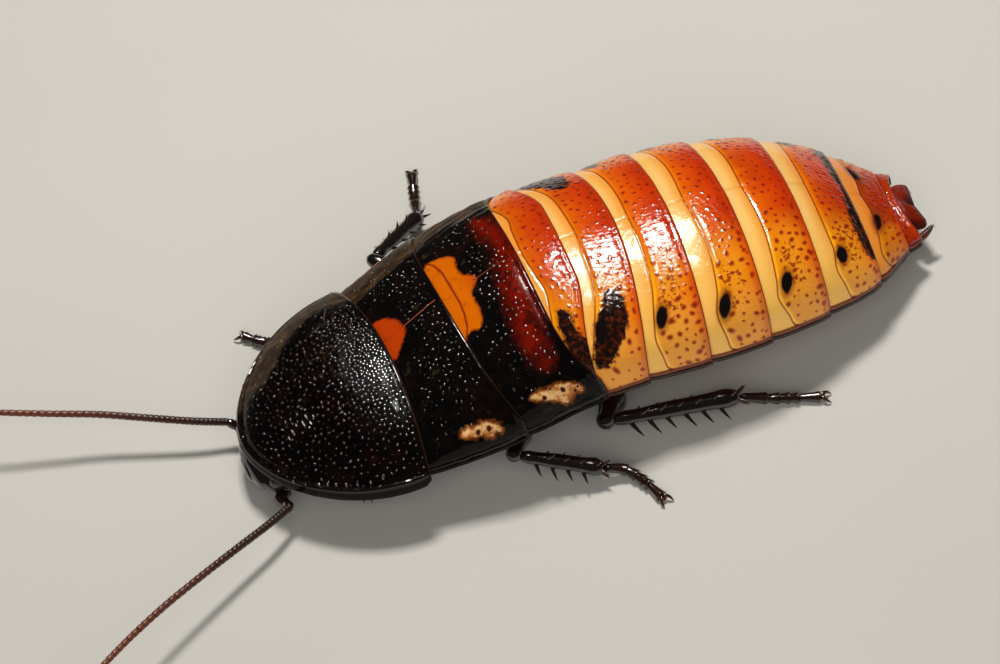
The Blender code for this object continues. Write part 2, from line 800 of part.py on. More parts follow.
def make_tail(materials, collection):
    """The two-lobed plate over the tail's end and the two short cerci below it."""
    rows = []
    for share, half, rise in TAIL_ROWS:
        row = []
        for t in shares_across(16):
            side = t * half
            front = margin_line(len(PLATES) - 1, side / TAIL_ROOT_HALF_WIDTH) - GAP / 2
            notch = TAIL_NOTCH * math.exp(-((side / TAIL_NOTCH_HALF_WIDTH) ** 2))
            x = front - (TAIL_LENGTH - notch) * share
            edge = margin_height(x) + TAIL_LIFT
            upper = place(x, side + TAIL_SIDE, edge + rise * arch(t))
            row.append((upper, place(x, side + TAIL_SIDE, edge - TAIL_THICK)))
        rows.append(row)
    slab("supra_anal_plate", rows, materials["tail_red"], collection)
    for name, points in CERCI.items():
        wire("cercus_" + name, points, CERCUS_RADII, materials["tail_red"], collection)


def main():
    clear_scene()
    collection = new_collection("hissing_cockroach")
    cutters = new_collection("cutters", shown=False)
    materials = make_materials()
    black = materials["shell_black"]
    make_trunk(materials, collection)
    make_pronotum(black, collection)
    make_prothorax(black, collection)
    head = make_head(black, collection)
    for socket in make_eyes(materials["eye_black"], cutters, collection):
        cut(head, socket)
    make_antennae(materials, collection)
    make_palps(materials["leg_black"], collection)
    make_legs(materials, collection)
    make_tail(materials, collection)


main()
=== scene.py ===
import math

import bpy
import numpy as np
from mathutils import Matrix, Vector


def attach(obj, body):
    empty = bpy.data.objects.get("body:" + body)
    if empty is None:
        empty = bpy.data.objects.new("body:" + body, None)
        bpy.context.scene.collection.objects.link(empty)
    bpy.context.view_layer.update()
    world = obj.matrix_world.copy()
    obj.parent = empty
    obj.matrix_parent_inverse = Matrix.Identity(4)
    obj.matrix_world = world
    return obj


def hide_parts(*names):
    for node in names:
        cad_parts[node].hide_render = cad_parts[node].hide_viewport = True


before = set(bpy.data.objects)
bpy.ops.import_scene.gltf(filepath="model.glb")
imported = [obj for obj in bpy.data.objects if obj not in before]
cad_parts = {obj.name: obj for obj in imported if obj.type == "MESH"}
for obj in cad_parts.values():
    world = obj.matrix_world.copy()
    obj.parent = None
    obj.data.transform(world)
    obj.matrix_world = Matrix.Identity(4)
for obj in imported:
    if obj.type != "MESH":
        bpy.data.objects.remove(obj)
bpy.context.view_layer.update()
mm = 0.001
rng = np.random.default_rng(12)
upward = np.array([0.0, 0.0, 1.0])
flanks = (("left", 1), ("right", -1))
print("frame loaded with", len(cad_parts), "nodes")

# the body's shape, in millimetres, as the solids have it

body = {
    "midline": ((41.6, 2.4), (28.6, 1.45), (15.0, 0.5), (2.0, 0.6), (-8.0, 0.6), (-18.6, 0.98)),
    "margin": ((41.6, 4.3), (28.6, 4.8), (15.0, 6.2), (2.0, 5.95), (-8.0, 4.65), (-18.6, 2.75)),
    "marginThick": 0.55,
    "archPower": 1.97,
    "archRoot": 0.45,
    "bellyShare": 0.86,
    "bellyPower": 2.6,
    "bellyRoot": 0.7,
    # x, half width, height of the back over the side margin
    "sections": ((28.6, 10.5, 4.0), (20.8, 11.5, 6.3), (13.9, 11.3, 7.3), (8.6, 11.15, 7.0),
                 (2.6, 11.2, 7.25), (-2.5, 10.65, 7.1), (-8.1, 9.35, 6.0), (-13.2, 7.15, 3.2),
                 (-16.0, 4.8, 1.7), (-17.8, 3.7, 1.35)),
    "belly": ((30.0, 3.3), (9.0, 3.2), (3.4, -0.35), (-7.0, -0.35), (-12.5, 0.8), (-16.0, 1.5),
              (-19.0, 2.0)),
    # hind margin of each plate: x at the side, how far the middle is ahead, corners drawn back.
    # The metathorax and the plate after it follow the photo more finely than the solids do.
    "plates": (("pronotum", 29.0, -1.15, 0.0), ("mesothorax", 21.8, 0.55, 1.25),
               ("metathorax", 15.5, 0.0, 2.7), ("abdomen_1", 11.85, 0.0, 0.0),
               ("abdomen_2", 8.75, -1.65, 0.0), ("abdomen_3", 3.5, -0.8, 0.0),
               ("abdomen_4", -1.65, -0.6, 0.0), ("abdomen_5", -7.3, -0.3, 0.0),
               ("abdomen_6", -12.75, 0.1, 0.0), ("abdomen_7", -16.2, 0.1, 0.0),
               ("abdomen_8", -17.65, 0.9, 0.0)),
    "cornerPower": 6,
    "firstSeam": (1.5, 0.35, 0.95),
    "plateGap": 0.12,
    "headingStep": 0.02,  # either side of a place, to read which way the midline heads
}


def curveAt(x, knots, column=1):
    # a smooth curve through one column of the knots
    table = np.array(knots, float)
    if table[0, 0] > table[-1, 0]:
        table = table[::-1]
    xs, ys = table[:, 0], table[:, column]
    slopes = np.gradient(ys, xs)
    x = np.clip(np.asarray(x, float), xs[0], xs[-1])
    i = np.clip(np.searchsorted(xs, x) - 1, 0, len(xs) - 2)
    step = xs[i + 1] - xs[i]
    u = (x - xs[i]) / step
    ends = (2 * u**3 - 3 * u**2 + 1) * ys[i] + (3 * u**2 - 2 * u**3) * ys[i + 1]
    return ends + ((u**3 - 2 * u**2 + u) * slopes[i] + (u**3 - u**2) * slopes[i + 1]) * step


def place(x, out, z):
    # along the body, out from its midline (left is positive) and up
    x, out, z = np.broadcast_arrays(np.asarray(x, float), out, z)
    step = body["headingStep"]
    before, after = curveAt(x - step, body["midline"]), curveAt(x + step, body["midline"])
    heading = np.arctan((after - before) / (2 * step))
    y = (before + after) / 2 + out * np.cos(heading)
    return np.stack([x - out * np.sin(heading), y, z], -1)


def marginHeight(x):
    return curveAt(x, body["margin"])


def archOf(t):
    return np.maximum(0, 1 - np.abs(t) ** body["archPower"]) ** body["archRoot"]


def bellyHeight(x, t):
    knots = np.array(body["belly"])[::-1]
    low = marginHeight(x) - body["marginThick"]
    share = np.minimum(1, np.abs(t) / body["bellyShare"])
    sag = (1 - share ** body["bellyPower"]) ** body["bellyRoot"]
    return np.maximum(0, low - (low - np.interp(x, knots[:, 0], knots[:, 1])) * sag)


def smoothStep(x, low, high):
    u = np.clip((np.asarray(x, float) - low) / (high - low), 0, 1)
    return u * u * (3 - 2 * u)


def plateLine(index, t):
    # x of a plate's hind margin at a share t of the way out
    _, side, bow, corner = body["plates"][index]
    line = side + bow * (1 - t * t) - corner * np.abs(t) ** (body["cornerPower"] + (index == 2))
    if index == 3:
        ahead, low, high = body["firstSeam"]
        line = line + ahead * smoothStep(np.abs(t), low, high)
        line = np.minimum(line, plateLine(2, t) - body["plateGap"])
    return line


def hump(x, middle, width):
    return np.exp(-(((x - middle) / width) ** 2))


def rounding(distance, width):
    # from 0 at an end to 1 at a width from it, as a round nose rises
    return np.sqrt(np.clip(distance / width, 0, 1))


def turned(a, b, turn):
    return a * math.cos(turn) + b * math.sin(turn), b * math.cos(turn) - a * math.sin(turn)


def circle(count):
    return np.linspace(0, 2 * math.pi, count, endpoint=False)


def halfWave(count):
    # from -1 to 1, closer together at both ends
    return np.sin(np.linspace(-math.pi / 2, math.pi / 2, count))


def ripple(x, y, size, seed):
    # soft, irregular waves about one size long, from -1 to 1
    own = np.random.default_rng(seed)
    total = 0
    for _ in range(7):
        turn, phase = own.uniform(0, 2 * math.pi, 2)
        pitch = 2 * math.pi / (size * own.uniform(0.7, 1.5))
        total = total + np.sin((x * math.cos(turn) + y * math.sin(turn)) * pitch + phase)
    return total / 3.5


# mesh helpers


def gridFaces(rows, cols):
    # quads between rings of equal count
    here = np.arange(rows - 1)[:, None] * cols
    i = np.arange(cols)[None, :]
    j = (i + 1) % cols
    return np.stack([here + i, here + j, here + cols + j, here + cols + i], -1).reshape(-1, 4)


def capFaces(ring, hub, first):
    following, hubs = np.roll(ring, -1), np.full(len(ring), hub)
    return np.stack([hubs, following, ring] if first else [hubs, ring, following], -1)


def tubeOf(rings, hubs=None):
    # a closed skin through rings of equal count, with a fan over each end
    rows, cols = rings.shape[:2]
    ends = hubs if hubs is not None else (rings[0].mean(0), rings[-1].mean(0))
    points = np.concatenate([rings.reshape(-1, 3), np.array(ends)])
    first, count = np.arange(cols), rows * cols
    last = first + count - cols
    return points, [gridFaces(rows, cols), capFaces(first, count, True), capFaces(last, count + 1, False)]


def joined(skins):
    points, faces, start = [], [], 0
    for found, sets in skins:
        points.append(found)
        faces += [group + start for group in sets]
        start += len(found)
    return np.concatenate(points), faces


def volumeOf(points, faces):
    total = 0
    for group in faces:
        for k in range(1, group.shape[1] - 1):
            a, b, c = points[group[:, 0]], points[group[:, k]], points[group[:, k + 1]]
            total += np.einsum("ij,ij->i", a, np.cross(b, c)).sum()
    return total


def put(name, data):
    found = bpy.data.objects.new(name, data)
    bpy.context.scene.collection.objects.link(found)
    return found


def meshPiece(name, skin, materials, nodes, fields=None, kinds=None):
    # one object from points in millimetres, faces turned outwards; fields are values at the points
    points, faces = skin
    if volumeOf(points, faces) < 0:
        faces = [group[:, ::-1] for group in faces]
    mesh = bpy.data.meshes.new(name)
    corners = np.concatenate([group.reshape(-1) for group in faces]).astype(np.int32)
    sizes = np.concatenate([np.full(len(group), group.shape[1]) for group in faces])
    mesh.vertices.add(len(points))
    mesh.vertices.foreach_set("co", (points * mm).astype(np.float32).ravel())
    mesh.loops.add(len(corners))
    mesh.loops.foreach_set("vertex_index", corners)
    mesh.polygons.add(len(sizes))
    starts = np.concatenate([[0], np.cumsum(sizes)[:-1]])
    mesh.polygons.foreach_set("loop_start", starts.astype(np.int32))
    mesh.polygons.foreach_set("use_smooth", np.ones(len(sizes), bool))
    if kinds is not None:
        mesh.polygons.foreach_set("material_index", kinds.astype(np.int32))
    mesh.update(calc_edges=True)
    mesh.validate()
    for key, values in (fields or {}).items():
        layer = mesh.attributes.new(key, "FLOAT", "POINT")
        layer.data.foreach_set("value", np.broadcast_to(values, len(points)).astype(np.float32))
    for material in materials:
        mesh.materials.append(material)
    piece = put(name, mesh)
    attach(piece, "root")
    if nodes:
        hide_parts(*nodes)


class Group:
    # skins that make one piece; each brings its own values of the field warm
    def __init__(self):
        self.skins, self.values = [], []

    def add(self, skin, value=0.0):
        self.skins.append(skin)
        self.values.append(np.broadcast_to(value, len(skin[0])))

    def make(self, name, paint, nodes, slot, low=0.0, field="warm"):
        # nothing goes below the given height over the floor
        points, faces = joined(self.skins)
        points[:, 2] = np.maximum(points[:, 2], low)
        meshPiece(name, (points, faces), [paint], nodes, {field: np.concatenate(self.values)})


def unit(v):
    return v / np.linalg.norm(v, axis=-1, keepdims=True)


def sideAndUp(way):
    # level to the side of a way, and square to both
    side = unit(np.cross(way, upward))
    return side, np.cross(side, way)


def runOf(points):
    return np.concatenate([[0], np.cumsum(np.linalg.norm(np.diff(points, axis=0), axis=-1))])


def onRoute(s, run, route):
    return np.stack([np.interp(s, run, column) for column in route.T], -1)


def evenly(values):
    # values spread evenly from 0 to 1, as knots of a curve
    return np.stack([np.linspace(0, 1, len(values)), np.array(values)], -1)


def pathThrough(points, count):
    # points evenly along a smooth curve
    knots = np.array(points, float)
    run = runOf(knots)
    s = run[-1] * np.linspace(0, 1, count)
    return np.stack([curveAt(s, np.stack([run, column], -1)) for column in knots.T], -1)


def ringsAlong(path, widths, heights=None, sides=16):
    # rings round a path: width lies level, height stands up
    side, up = sideAndUp(unit(np.gradient(path, axis=0)))
    widths = np.broadcast_to(widths, len(path))
    heights = widths if heights is None else np.broadcast_to(heights, len(path))
    turns = circle(sides)
    return (path[:, None] + side[:, None] * (widths[:, None, None] * np.cos(turns)[None, :, None])
            + up[:, None] * (heights[:, None, None] * np.sin(turns)[None, :, None]))


def thorn(root, tip, radius, sides=8, rows=7, bend=0.0, blunt=0.06):
    # a tapered spine that leans a little forward of its line
    root, tip = np.array(root, float), np.array(tip, float)
    s = np.linspace(0, 1, rows) ** 0.85
    way = tip - root
    level = unit(np.cross(way, upward) + 1e-9)
    path = root + way * s[:, None] + level * (bend * np.sin(math.pi * s))[:, None]
    return tubeOf(ringsAlong(path, radius * ((1 - s) ** 0.8 + blunt), sides=sides))


def hair(root, way, long, radius):
    # a fine bristle, as a thin three-sided cone
    return thorn(root, root + way * long, radius, sides=3, rows=3, blunt=0.15)


# material helpers


def tone(red, green, blue):
    # a colour as a screen shows it, 0 to 255, turned into linear light
    levels = [c / 255 for c in (red, green, blue)]
    return (*[c / 12.92 if c <= 0.04045 else ((c + 0.055) / 1.055) ** 2.4 for c in levels], 1)


class Paint:
    # one material, its nodes made by short calls; a text given for a value names a field of the
    # mesh, and a colour is given as a screen shows it
    def __init__(self, name):
        self.material = bpy.data.materials.new(name)
        self.material.use_nodes = True
        self.tree = self.material.node_tree
        self.shader = self.tree.nodes["Principled BSDF"]
        self.coords = self.tree.nodes.new("ShaderNodeTexCoord").outputs["Object"]
        self.colour = self.normal = None

    def put(self, socket, value):
        if isinstance(value, str):
            value = self.node("Attribute", {}, "Fac", attribute_name=value)
        if isinstance(value, bpy.types.NodeSocket):
            self.tree.links.new(value, socket)
        else:
            socket.default_value = value

    def node(self, kind, given, output=0, **settings):
        made = self.tree.nodes.new("ShaderNode" + kind)
        for key, value in settings.items():
            setattr(made, key, value)
        for key, value in given.items():
            self.put(made.inputs[key], value)
        return made.outputs[output]

    def calc(self, operation, *values):
        return self.node("Math", dict(enumerate(values)), operation=operation)

    def times(self, a, b):
        return self.calc("MULTIPLY", a, b)

    def add(self, a, b):
        return self.calc("ADD", a, b)

    def scaled(self, value, factor, offset):
        return self.calc("MULTIPLY_ADD", value, factor, offset)

    def step(self, value, low, high):
        given = {"Value": value, "From Min": low, "From Max": high}
        return self.node("MapRange", given, "Result", interpolation_type="SMOOTHSTEP")

    def near(self, value, low, high):
        # a smooth step of the value without its sign
        return self.step(self.calc("ABSOLUTE", value), low, high)

    def mix(self, factor, a, b):
        a, b = [tone(*c) if isinstance(c, tuple) else c for c in (a, b)]
        return self.node("Mix", {0: factor, 6: a, 7: b}, 2, data_type="RGBA")

    def lay(self, share, colour, amount=1.0):
        # a colour over what is painted so far
        share = share if amount == 1.0 else self.times(share, amount)
        self.colour = self.mix(share, self.colour, colour)

    def ramp(self, factor, stops):
        output = self.node("ValToRGB", {0: factor})
        marks = output.node.color_ramp.elements
        while len(marks) < len(stops):
            marks.new(0.5)
        for mark, (where, colour) in zip(marks, stops):
            mark.position, mark.color = where, tone(*colour)
        return output

    def noise(self, size, detail=2.0, rough=0.5, stretch=(1, 1, 1), warp=0.0):
        # size is that of one patch, in millimetres
        shifted = self.node("Mapping", {"Vector": self.coords, "Scale": stretch})
        return self.node("TexNoise", {"Vector": shifted, "Scale": 1 / (size * mm), "Detail": detail,
                                      "Roughness": rough, "Distortion": warp}, "Fac")

    def cells(self, size):
        given = {"Vector": self.coords, "Scale": 1 / (size * mm)}
        return self.node("TexVoronoi", given, "Distance")

    def bump(self, height, depth, strength):
        # on what is raised so far; depth in millimetres for a height of 1
        given = {"Height": height, "Distance": depth * mm, "Strength": strength}
        if self.normal is not None:
            given["Normal"] = self.normal
        self.normal = self.node("Bump", given)

    def done(self, rough, coat=0.0, coatRough=0.08, ior=1.5):
        sockets = self.shader.inputs
        self.put(sockets["Base Color"], self.colour)
        self.put(sockets["Roughness"], rough)
        if self.normal is not None:
            self.put(sockets["Normal"], self.normal)
        self.put(sockets["Coat Weight"], coat)
        sockets["Coat Roughness"].default_value = coatRough
        sockets["IOR"].default_value = ior
        return self.material


# the plates of the back: colours and marks

# Marks are outlines in shares of one plate: along it from its front edge to its hind margin,
# and across it from the midline to the side. Where they lie on both sides alike, across counts
# outwards on either side.
abdomen = {
    "columns": 330,
    "rowStep": 0.095,
    "fewestRows": 18,
    "rowCrowding": 1.08,
    "tuck": 0.42,
    # rows of the lip behind the hind margin: how far back under the plate, how far in from its face
    "lip": ((0.0, 0.072), (0.02, 0.144), (0.12, 0.19), (0.5, 0.22)),
    # along the plate: how its back is lifted, and how its side spreads
    "lift": ((-0.1, 0, 0.3, 0.8, 0.95, 1), (-0.34, -0.17, -0.05, 0.14, 0.15, 0.07)),
    "spread": ((-0.1, 0, 0.15, 0.4, 0.86, 1), (-0.34, -0.2, -0.06, 0.02, 0.08, 0.0)),
    "rimSteps": 4,
    "rimSwell": 0.13,
    "bellyColumns": 84,
    "dots": 240,
    "dotSpacing": 0.6,
    "lastDotSpacing": 0.7,
    "dotSize": (0.13, 0.34),
    "hindDotStep": 1.6,
    "hindDotSize": (0.16, 0.3),
    # Redness: how much redder and darker a plate is than the ones before it.
    # Line: how far along the plate its thin dark line lies, from the midline out to the side.
    # Spot: along, across, half length outwards, half width, turn in degrees.
    "plates": {
        "abdomen_1": {
            "redness": 0.22,
            "line": ((0, 0.1), (0.25, 0.15), (0.4, 0.2), (0.52, 0.12), (0.62, 0.0), (0.75, -0.4), (1, -6)),
            "smear": ((0.3, 0.64), (0.37, 0.6), (0.44, 0.6), (0.46, 0.65), (0.48, 0.72), (0.75, 0.8),
                      (1.0, 0.83), (1.2, 1.0), (-0.2, 1.0), (-0.2, 0.9), (0.15, 0.84), (0.28, 0.74)),
        },
        "abdomen_2": {
            "redness": 0.14,
            "line": ((0, 0.3), (0.37, 0.26), (0.59, 0.24), (0.77, 0.16), (0.87, 0.08), (1, -0.12)),
            "spot": (0.28, 0.775, 1.0, 0.52, 103),
            "smear": ((0.46, 0.62), (0.51, 0.57), (0.62, 0.57), (0.67, 0.62), (0.65, 0.66),
                      (0.7, 0.69), (0.68, 0.75), (0.66, 0.79), (0.6, 0.83), (0.47, 0.87),
                      (0.38, 0.9), (0.26, 0.94), (0.15, 0.93), (0.16, 0.87), (0.26, 0.82),
                      (0.28, 0.74), (0.38, 0.68)),
        },
        "abdomen_3": {
            "redness": 0.06,
            "line": ((0, 0.26), (0.39, 0.29), (0.64, 0.27), (0.82, 0.21), (0.93, 0.2), (1, 0.3)),
            "spot": (0.34, 0.81, 0.9, 0.46, 100),
        },
        "abdomen_4": {
            "redness": 0.05,
            "line": ((0, 0.31), (0.5, 0.36), (0.77, 0.29), (0.91, 0.21), (1, 0.3)),
            "spot": (0.35, 0.855, 0.98, 0.48, 107),
        },
        "abdomen_5": {
            "redness": 0.04,
            "line": ((0, 0.3), (0.47, 0.33), (0.82, 0.26), (0.93, 0.23), (1, 0.36)),
            "spot": (0.4, 0.843, 0.85, 0.48, 112),
        },
        "abdomen_6": {
            "redness": 0.1,
            "line": ((0, 0.32), (0.56, 0.33), (0.73, 0.34), (0.88, 0.29), (1, 0.4)),
            "spot": (0.44, 0.77, 0.72, 0.48, 105),
            "smear": ((1.02, -0.05), (0.97, 0.1), (0.93, 0.35), (0.9, 0.6), (0.93, 0.76), (1.02, 0.86)),
        },
        "abdomen_7": {
            "redness": 0.8,
            "line": ((0, 0.35), (0.29, 0.41), (0.66, 0.32), (0.92, 0.26), (1, 0.36)),
            "spot": (0.44, 0.456, 0.78, 0.36, 105),
        },
        "abdomen_8": {"redness": 1.2, "line": ((0, -1.0), (1, -1.0))},
    },
}

# The orange and the red are on both sides of the midline at once, left being above zero.
# Dots: along, across, radius. Median: the rust line's two ends along the plate, and its place.
thorax = {
    "mesothorax": {
        "orange": ((-0.05, -0.3), (0.1, -0.28), (0.23, -0.23), (0.33, -0.14), (0.37, -0.03),
                   (0.31, 0.02), (0.2, 0.08), (0.12, 0.13), (0.03, 0.16), (-0.05, 0.1)),
        "pale": ((0.38, 0.92), (0.44, 0.897), (0.53, 0.9), (0.61, 0.905), (0.68, 0.91),
                 (0.73, 0.925), (0.79, 0.95), (0.79, 0.965), (0.77, 0.985), (0.71, 0.975),
                 (0.66, 0.988), (0.61, 0.98), (0.58, 0.965), (0.52, 0.962), (0.46, 0.96),
                 (0.38, 0.935)),
        "red": (),
        "dots": ((0.56, 0.945, 0.26), (0.67, 0.95, 0.27)),
        "median": (0.03, 0.92, -0.05),
        "mattFrom": 0.6,
        "golden": 0.12,
    },
    "metathorax": {
        "orange": ((0.01, -0.44), (0.19, -0.39), (0.31, -0.35), (0.36, -0.29), (0.33, -0.22),
                   (0.31, -0.15), (0.34, -0.1), (0.4, -0.06), (0.47, 0.0), (0.4, 0.04),
                   (0.32, 0.08), (0.31, 0.13), (0.32, 0.2), (0.3, 0.27), (0.27, 0.33),
                   (0.21, 0.37), (0.14, 0.34), (0.08, 0.34), (-0.02, 0.38), (-0.04, 0.2),
                   (-0.04, -0.2)),
        "pale": ((0.2, 0.915), (0.3, 0.905), (0.4, 0.91), (0.47, 0.92), (0.56, 0.918),
                 (0.67, 0.93), (0.77, 0.955), (0.8, 0.98), (0.76, 0.988), (0.7, 0.982),
                 (0.61, 0.99), (0.53, 0.996), (0.455, 0.985), (0.4, 0.975), (0.33, 0.96),
                 (0.23, 0.94)),
        "red": ((0.8, -0.14), (0.7, 0.02), (0.62, 0.2), (0.56, 0.4), (0.52, 0.6),
                (0.5, 0.8), (0.62, 0.86), (0.78, 0.82), (0.9, 0.56), (1.0, 0.3),
                (1.03, 0.0), (1.03, -0.3), (0.95, -0.5), (0.8, -0.6), (0.66, -0.5),
                (0.72, -0.3)),
        "dots": ((0.35, 0.948, 0.26), (0.58, 0.955, 0.3), (0.69, 0.975, 0.2), (0.47, 0.93, 0.13),
                 (0.745, 0.968, 0.15)),
        "median": (0.05, 0.84, 0.0),
        "mattFrom": 0.66,
        "golden": 1.0,
    },
    "line": ((-0.46, 0.03), (-0.37, 0.12), (-0.24, 0.16), (0.09, 0.16), (0.2, 0.14), (0.3, 0.095),
             (0.4, 0.0)),
    # number of a plate, and count of its granules
    "granules": ((1, 300), (2, 260)),
    "granuleSize": (0.06, 0.11),
}

# what a field says far from its mark
afar = {"line": 9.0, "median": 9.0, "rear": 9.0, "rim": 9.0, "orange": -9.0, "pale": -9.0,
        "red": -9.0, "spot": -9.0, "smear": -9.0}


def shellPaint(name):
    # the amber plates of the abdomen
    paint = Paint(name)
    step, times, scaled, noise = paint.step, paint.times, paint.scaled, paint.noise
    side = paint.calc("ABSOLUTE", "across")
    cloud = noise(3.2, 3, 0.55)
    drift = scaled(cloud, 0.34, -0.17)

    # cream band before the thin line, amber against it
    paint.colour = paint.mix(step(side, 0.15, 0.9), (240, 193, 112), (246, 190, 92))
    paint.lay(times(step("line", -1.15, -0.1), step(side, 1.1, 0.3)), (232, 138, 18), 0.75)
    paint.lay("redness", (224, 118, 14), 0.9)
    paint.lay(paint.near("crease", 0.3, 0.0), (190, 110, 30), 0.22)
    band = paint.colour

    # the disc behind it: orange to deep red in the middle, amber to yellow at the sides
    along = paint.add("share", drift)
    middle = paint.ramp(along, ((0.0, (236, 122, 3)), (0.38, (218, 82, 0)), (0.72, (194, 46, 0)),
                                (1.0, (134, 18, 0))))
    outer = paint.ramp(along, ((0.0, (255, 174, 18)), (0.55, (255, 178, 30)), (0.85, (246, 138, 12)),
                               (1.0, (208, 80, 4))))
    outward = paint.add(side, times(drift, 0.6))
    # the deep red middle reaches further out on the right side than on the left: partly the plates' own
    # colour, partly painted shade on the right side
    reach = scaled(step("across", -0.05, 0.05), -0.26, 0.48)
    paint.colour = paint.mix(step(outward, reach, paint.add(reach, 0.42)), middle, outer)
    paint.lay(step(outward, 0.72, 0.96), (255, 204, 92), 0.5)
    paint.lay(times(step(cloud, 0.44, 0.7), step(outward, 0.75, 0.25)), (132, 26, 2), 0.45)
    inner = paint.calc("MAXIMUM", step(side, 0.9, 0.4), paint.calc("SUBTRACT", "redness", 0.25))
    paint.lay(times("redness", inner), (112, 12, 2))
    paint.colour = paint.mix(step("line", -0.03, 0.03), band, paint.colour)

    # red-brown dots with a darker heart, and the dark hind margin
    paint.lay(times(step("dot", -0.6, 0.3), step("line", 0.1, 0.4)), (196, 56, 2), 0.55)
    paint.lay(step("dot", 0.0, 0.5), (146, 26, 2), 0.75)
    paint.lay(step("dot", 0.4, 0.9), (76, 12, 2), 0.8)
    paint.lay(times(step("rear", 0.75, 0.1), step("line", 0.0, 0.3)), (186, 56, 8), 0.45)
    paint.lay(step("rear", 0.13, 0.06), (118, 22, 3))
    # short red-brown blots beside the spots
    blot = step(noise(0.3, 1, 0.5, warp=0.5), 0.54, 0.61)
    paint.lay(times(step("worm", 0.1, 0.35), blot), (134, 36, 4), 0.85)
    # the ragged smears and the black spots
    ragged = scaled(noise(0.55, 3, 0.6), 0.9, -0.45)
    smear = step(scaled(ragged, 1.3, paint.add("smear", 0.4)), -0.25, 0.1)
    paint.lay(smear, paint.mix(step(noise(0.5, 4, 0.7), 0.44, 0.72), (22, 8, 5), (92, 34, 8)))
    spot = paint.add("spot", times(ragged, 0.16))
    halo = times(step(spot, -0.45, 0.0), paint.calc("SUBTRACT", 0.6, smear))
    paint.lay(paint.calc("MAXIMUM", halo, 0.0), (120, 50, 10))
    paint.lay(step(spot, -0.07, 0.07), (14, 8, 7))
    # the thin line and the bead along the side
    paint.lay(paint.near("line", 0.095, 0.04), (136, 34, 3), 0.85)
    paint.lay(step("rim", 0.42, 0.28), (98, 20, 6), 0.92)
    # the side wall below the bead, painted near black: painted shade under the overhanging side edge
    paint.lay(step("rim", -0.1, -0.8), (34, 12, 8))

    paint.bump(noise(0.16, 3, 0.6, stretch=(0.55, 1, 1)), 0.03, 0.6)
    paint.bump(noise(0.55, 2, 0.5, stretch=(0.5, 1, 1)), 0.024, 0.6)
    return paint.done(scaled(noise(0.7, 4, 0.6), 0.08, 0.1), coat=0.25, coatRough=0.05, ior=1.42)


def bellyPaint(name):
    # the underside: dull brown plates, darker at their seams and to the sides
    paint = Paint(name)
    cloud = paint.noise(2.6, 4, 0.6)
    paint.colour = paint.ramp(paint.add("share", paint.times(cloud, 0.3)),
                              ((0.1, (168, 92, 34)), (0.6, (140, 66, 24)), (1.1, (84, 34, 14))))
    paint.lay(paint.near("across", 0.55, 0.95), (74, 28, 12))
    paint.lay("dark", (38, 20, 14))
    paint.lay(paint.step(paint.cells(0.62), 0.16, 0.05), (40, 16, 8), 0.5)
    paint.bump(paint.noise(0.2, 3, 0.6), 0.05, 0.5)
    return paint.done(paint.scaled(cloud, 0.2, 0.26), coat=0.15)


